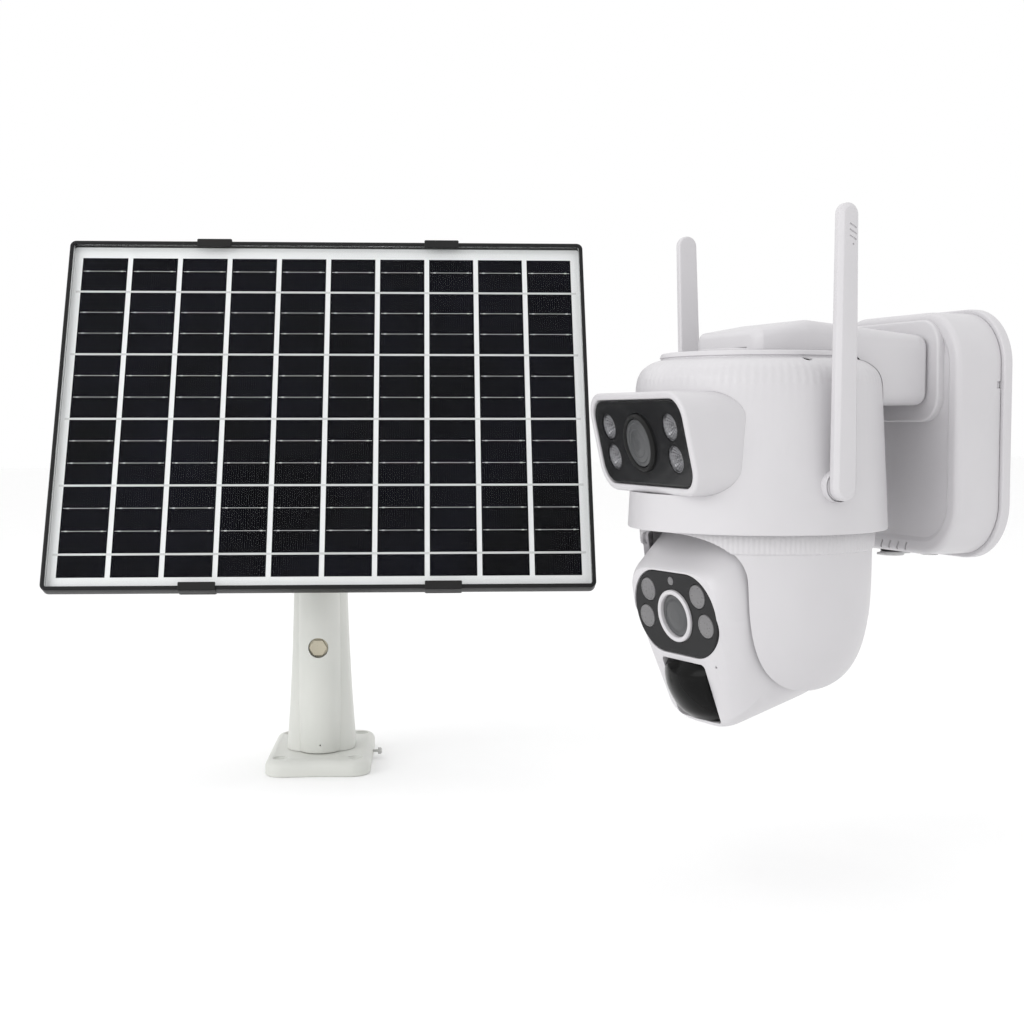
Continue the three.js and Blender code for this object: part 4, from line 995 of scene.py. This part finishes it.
def stand_column():
    bottom, top = BASE["thick"] + GAP, COLUMN["top"]
    rings = []
    for level in range(29):
        share = level / 28
        half = column_skin(share)
        ring = rounded_rect(2 * half, 2 * half, 0.7 * half, steps=14)(0)
        rings.append([(x, y, bottom + share * (top - bottom)) for x, y in ring])
    column = solid(lofted(rings))
    rib = COLUMN["rib"]
    rib_rod = shifted(turned(
        filleted([(0, bottom), (rib, bottom), (rib - 1, top), (0, top)], [0, 0.8, 0.8, 0], 4), "up", 96),
        y=COLUMN["rib_front"] + rib)
    join(column, rib_rod)
    bore = rod(POST["radius"] + GAP, POST["bottom"] - 2, top + 1, "up", 64)
    seat = shifted(rod(5.8, 20, 40, sides=64), y=-2, z=CLAMP_Z)
    bolt_bore = shifted(rod(2.8, 5, 40, sides=32), z=CLAMP_Z)
    pin_hole = shifted(rod(0.5, 20, 40, sides=16), x=0.8, z=bottom + 5)
    cut(column, bore, seat, bolt_bore, pin_hole)
    eased(column, 0.5, 40, 2)
    show(column, "column_moulded", STAND, STAND_WHITE, "wall_unit", ["stand_column"])

    at = moved(STAND, z=CLAMP_Z)
    head = slab(circle(5.2, 6), 22.3, 25, 0.1, 0.5)
    shank = rod(2.5, POST["radius"] + GAP, 23, sides=32)
    washer = rod(5.5, 22.1, 22.7, sides=48, soft=0.1)
    show(solid(head, shank, washer), "clamp_bolt_hex", at, BRASSY, "wall_unit", ["clamp_bolt"])


def swivel_post():
    radius, shoulder, tab = POST["radius"], POST["shoulder"], POST["tab"]
    stem = rod(radius, POST["bottom"], shoulder, "up", 72, soft=[0, 0.6, 1.5, 0])
    arc = [math.pi * i / 24 for i in range(25)]
    tab_line = [(POST["tab_radius"] * math.cos(a), PIVOT_Z + POST["tab_radius"] * math.sin(a)) for a in arc]
    tab_line += [(-radius + 1, shoulder - 4), (radius - 1, shoulder - 4)]
    post = join(solid(stem), slab(polygon(tab_line, 0, 1), -tab / 2, tab / 2, 0.4, 0.4, "side", 2))
    hole = shifted(rod(BOLT_HOLE, -20, 20, "side", 48), z=PIVOT_Z)
    cut(post, hole)
    show(post, "swivel_post_moulded", STAND, STAND_WHITE, "swivel_post", ["swivel_post"])


# ---------------------------------------------------------------- solar panel

SOLAR = {"width": 298, "height": 212, "depth": 8, "front": 46.2, "lip": 2.2, "wall": 1.8, "corner": 3.5}
CELLS = {"strips": 10, "gap": 2.8, "side": 7.2, "top": 9.2, "bottom": 8.2}
BUSBARS = {"count": 14, "pitch": 13.3, "first": 8.6, "bold_from": 1, "bold_every": 3}
CLIP = {"x": 66, "width": 20, "reach": 4.2, "thick": 0.5}
glass_front = SOLAR["front"] - 0.8 - GAP
sheet_front = glass_front - 3 - GAP
panel_back = SOLAR["front"] - SOLAR["depth"]


def panel_frame():
    front, lip, wall = SOLAR["front"], SOLAR["lip"], SOLAR["wall"]
    outline = rounded_rect(SOLAR["width"], SOLAR["height"], SOLAR["corner"], steps=8)
    section = [
        (0, panel_back), (0, front), (lip, front), (lip, front - 0.8),
        (wall, front - 0.8), (wall, panel_back),
    ]
    rails = solid(tube(outline, section, [0.3, 0.6, 0.25, 0.1, 0, 0.2], steps=3))
    show(rails, "panel_frame_extruded", LAMINATE, FRAME_BLACK, "solar_panel", ["panel_frame"])

    inset = 2 * (wall + GAP)
    pane = rounded_rect(SOLAR["width"] - inset, SOLAR["height"] - inset, 1.4, steps=4)
    glass = solid(slab(pane, glass_front - 3, glass_front, 0.2, 0.2))
    show(glass, "panel_pane", LAMINATE, PANE, "solar_panel", ["panel_glass"])
    sheet = solid(slab(pane, sheet_front - 1.2, sheet_front, 0.1, 0.1))
    show(sheet, "panel_backsheet", LAMINATE, SHEET_WHITE, "solar_panel", ["cell_sheet"])


def cell_strips():
    """Ten dark strips under the glass, crossed by thin busbars and by bold ribbons that join them."""
    left = -SOLAR["width"] / 2 + CELLS["side"]
    top, bottom = SOLAR["height"] / 2 - CELLS["top"], -SOLAR["height"] / 2 + CELLS["bottom"]
    pitch = (-2 * left + CELLS["gap"]) / CELLS["strips"]
    width = pitch - CELLS["gap"]
    level = -sheet_front
    strips = [
        block(left + n * pitch, left + n * pitch + width, level - 0.12, level + 0.05, bottom, top)
        for n in range(CELLS["strips"])
    ]
    show(solid(*strips), "cell_strips", LAMINATE, CELL, "solar_panel")

    bold, thin, dots = [], [], []
    for n in range(BUSBARS["count"]):
        z = top - BUSBARS["first"] - n * BUSBARS["pitch"]
        if n % BUSBARS["bold_every"] == BUSBARS["bold_from"]:
            bold.append(block(left - 2.6, -left + 2.6, level - 0.17, level + 0.05, z - 0.6, z + 0.6))
            continue
        for strip in range(CELLS["strips"]):
            x = left + strip * pitch
            thin.append(block(x + 0.8, x + width - 0.8, level - 0.15, level - 0.05, z - 0.11, z + 0.11))
            for end in (3.2, width - 3.2):
                dot = block(end - 0.7, end + 0.7, level - 0.16, level - 0.05, -0.32, 0.32)
                dots.append(shifted(dot, x=x, z=z))
    show(solid(*bold), "bold_ribbons", LAMINATE, SILVER, "solar_panel")
    show(solid(*thin, *dots), "thin_busbars", LAMINATE, SILVER, "solar_panel")


def clips():
    low = SOLAR["height"] / 2 + GAP
    high = low + CLIP["thick"]
    front = SOLAR["front"] + GAP
    for level, edge in (("top", 1), ("bottom", -1)):
        for hand, side in (("left", -1), ("right", 1)):
            reach = CLIP["reach"] + CLIP["thick"]
            lip = slab(
                rounded_rect(CLIP["width"], reach, 0.6, y=high - reach / 2), front, front + 1, 0.1, 0.35)
            web = slab(
                rounded_rect(CLIP["width"], high - low, 0.3, y=(high + low) / 2),
                front + 1 - SOLAR["depth"], front + 0.8, 0.2, 0.2)
            skins = [lip, web] if edge > 0 else [tipped(lip, 180, "Y"), tipped(web, 180, "Y")]
            show(solid(*skins), f"edge_clip_{level}_{hand}", moved(LAMINATE, x=side * CLIP["x"]), BLACK,
                 "solar_panel", [f"clip_{level}_{hand}"])


def panel_back_fittings():
    """What carries the panel: rail, bracket and bolt, and the junction box with its gland."""
    half_height = SOLAR["height"] / 2 - SOLAR["wall"] - GAP
    rail = solid(slab(rounded_rect(44, 2 * half_height, 1), panel_back, panel_back + 2, 0.3, 0.3))
    show(rail, "panel_rail_pressed", PANEL, FRAME_BLACK, "solar_panel", ["panel_rail"])

    plate_front = panel_back - GAP
    plate = solid(slab(rounded_rect(60, 60, 6), plate_front - 2.5, plate_front, 0.4, 0.4))
    inner = POST["tab"] / 2 + GAP + 0.1
    arc = [-math.pi / 2 + math.pi * i / 24 for i in range(25)]
    ear_line = [(10 * math.cos(a), 10 * math.sin(a)) for a in arc]
    ear_line += [(-plate_front + 1, 16), (-plate_front + 1, -16)]
    ears = [
        slab(polygon(ear_line, 0, 1), low, low + 3, 0.3, 0.3, "side", 2) for low in (inner, -inner - 3)
    ]
    join(plate, *ears)
    cut(plate, rod(BOLT_HOLE, -20, 20, "side", 48))
    show(plate, "panel_bracket_welded", PANEL, FRAME_BLACK, "solar_panel", ["panel_bracket"])

    outside = inner + 3 + GAP
    bolt = [
        rod(4, -outside - 1, outside + 1, "side", 48, soft=0.1),
        slab(circle(7, 6), outside, outside + 5, 0.1, 0.7, "side"),
        slab(circle(7, 6), -outside - 5, -outside, 0.7, 0.1, "side"),
    ]
    show(solid(*bolt), "tilt_bolt_hex", PANEL, STEEL, "solar_panel", ["tilt_bolt"])

    back = sheet_front - 1.2 - GAP
    lid = slab(rounded_rect(50, 36, 4, x=82, y=48), back - 15, back, 1.6, 0.3)
    show(solid(lid), "junction_box_moulded", LAMINATE, BLACK, "solar_panel", ["junction_box"])
    top = 48 - 18 - GAP
    profile = [(2.4, -12), (4, -12), (5.4, -9), (5.4, -4), (6.5, -4), (6.5, 0), (2.4, 0)]
    gland = shifted(turned(filleted(profile, 0.4, 3, closed=True), "up", 64, loop=True), z=top)
    show(solid(gland), "cable_gland_moulded", moved(LAMINATE, x=82, y=-(back - 7.5)), BLACK, "solar_panel",
         ["cable_gland"])


wall_plate()
box_shell()
socket_and_button()
arm_shell()
neck_and_body()
gun()
antenna("left", -1, ANTENNA["left_lean"])
antenna("right", 1, 0)
bowl()
ball_shells()
ball_face()
pir_dome()
stand_base()
stand_column()
swivel_post()
panel_frame()
cell_strips()
clips()
panel_back_fittings()


# ---------------------------------------------------------------- stage, light and camera

def stage():
    """A wide pale floor under the stand's foot."""
    size = 6.0
    level = mounts["stand_base_face"]["pos_m"][2]
    mesh = bpy.data.meshes.new("floor")
    corners = [(-size, -size, level), (size, -size, level), (size, size, level), (-size, size, level)]
    mesh.from_pydata(corners, [], [(0, 1, 2, 3)])
    floor = bpy.data.objects.new("floor", mesh)
    bpy.context.scene.collection.objects.link(floor)
    paper = grained("floor_paper", rgb(0.98, 0.98, 0.98), rgb(0.97, 0.97, 0.97), 0.7, 0.002, 0.00001)
    mesh.materials.append(paper)


def aim(item, position, target):
    item.location = position
    item.rotation_mode = "QUATERNION"
    item.rotation_quaternion = (Vector(target) - Vector(position)).to_track_quat("-Z", "Y")


def soft_light(name, position, target, size, power):
    lamp = bpy.data.lights.new(name, "AREA")
    lamp.shape = "SQUARE"
    lamp.size = size
    lamp.energy = power
    item = bpy.data.objects.new(name, lamp)
    bpy.context.scene.collection.objects.link(item)
    aim(item, position, target)


def lights_and_camera():
    middle = (cad_box[0] + cad_box[1]) / 2
    eye = Vector((0.5783, -0.4668, 0.0063))                # the lens, in metres
    azimuth, dip = math.radians(67), math.radians(3.5)     # which way it looks: left of +Y, and down
    look = Vector((-math.sin(azimuth) * math.cos(dip), math.cos(azimuth) * math.cos(dip), -math.sin(dip)))
    right = look.cross(UP).normalized()

    camera_data = bpy.data.cameras.new("camera")
    camera_data.lens = 52.7
    camera_data.sensor_width = 36
    camera_data.clip_start = 0.01
    camera = bpy.data.objects.new("camera", camera_data)
    bpy.context.scene.collection.objects.link(camera)
    aim(camera, eye, eye + look)
    bpy.context.scene.camera = camera

    soft_light("key", middle - look * 0.9 - right * 1.1 + UP * 0.5, middle, 1.0, 7)
    soft_light("top", middle + look * 0.2 + UP * 1.4, middle, 1.2, 2)

    world = bpy.data.worlds.new("studio")
    bpy.context.scene.world = world
    world.use_nodes = True
    world.node_tree.nodes["Background"].inputs["Color"].default_value = rgb(1, 1, 1)
    world.node_tree.nodes["Background"].inputs["Strength"].default_value = 1.0
    bpy.context.scene.view_settings.view_transform = "Standard"


stage()
lights_and_camera()

bpy.context.view_layer.update()
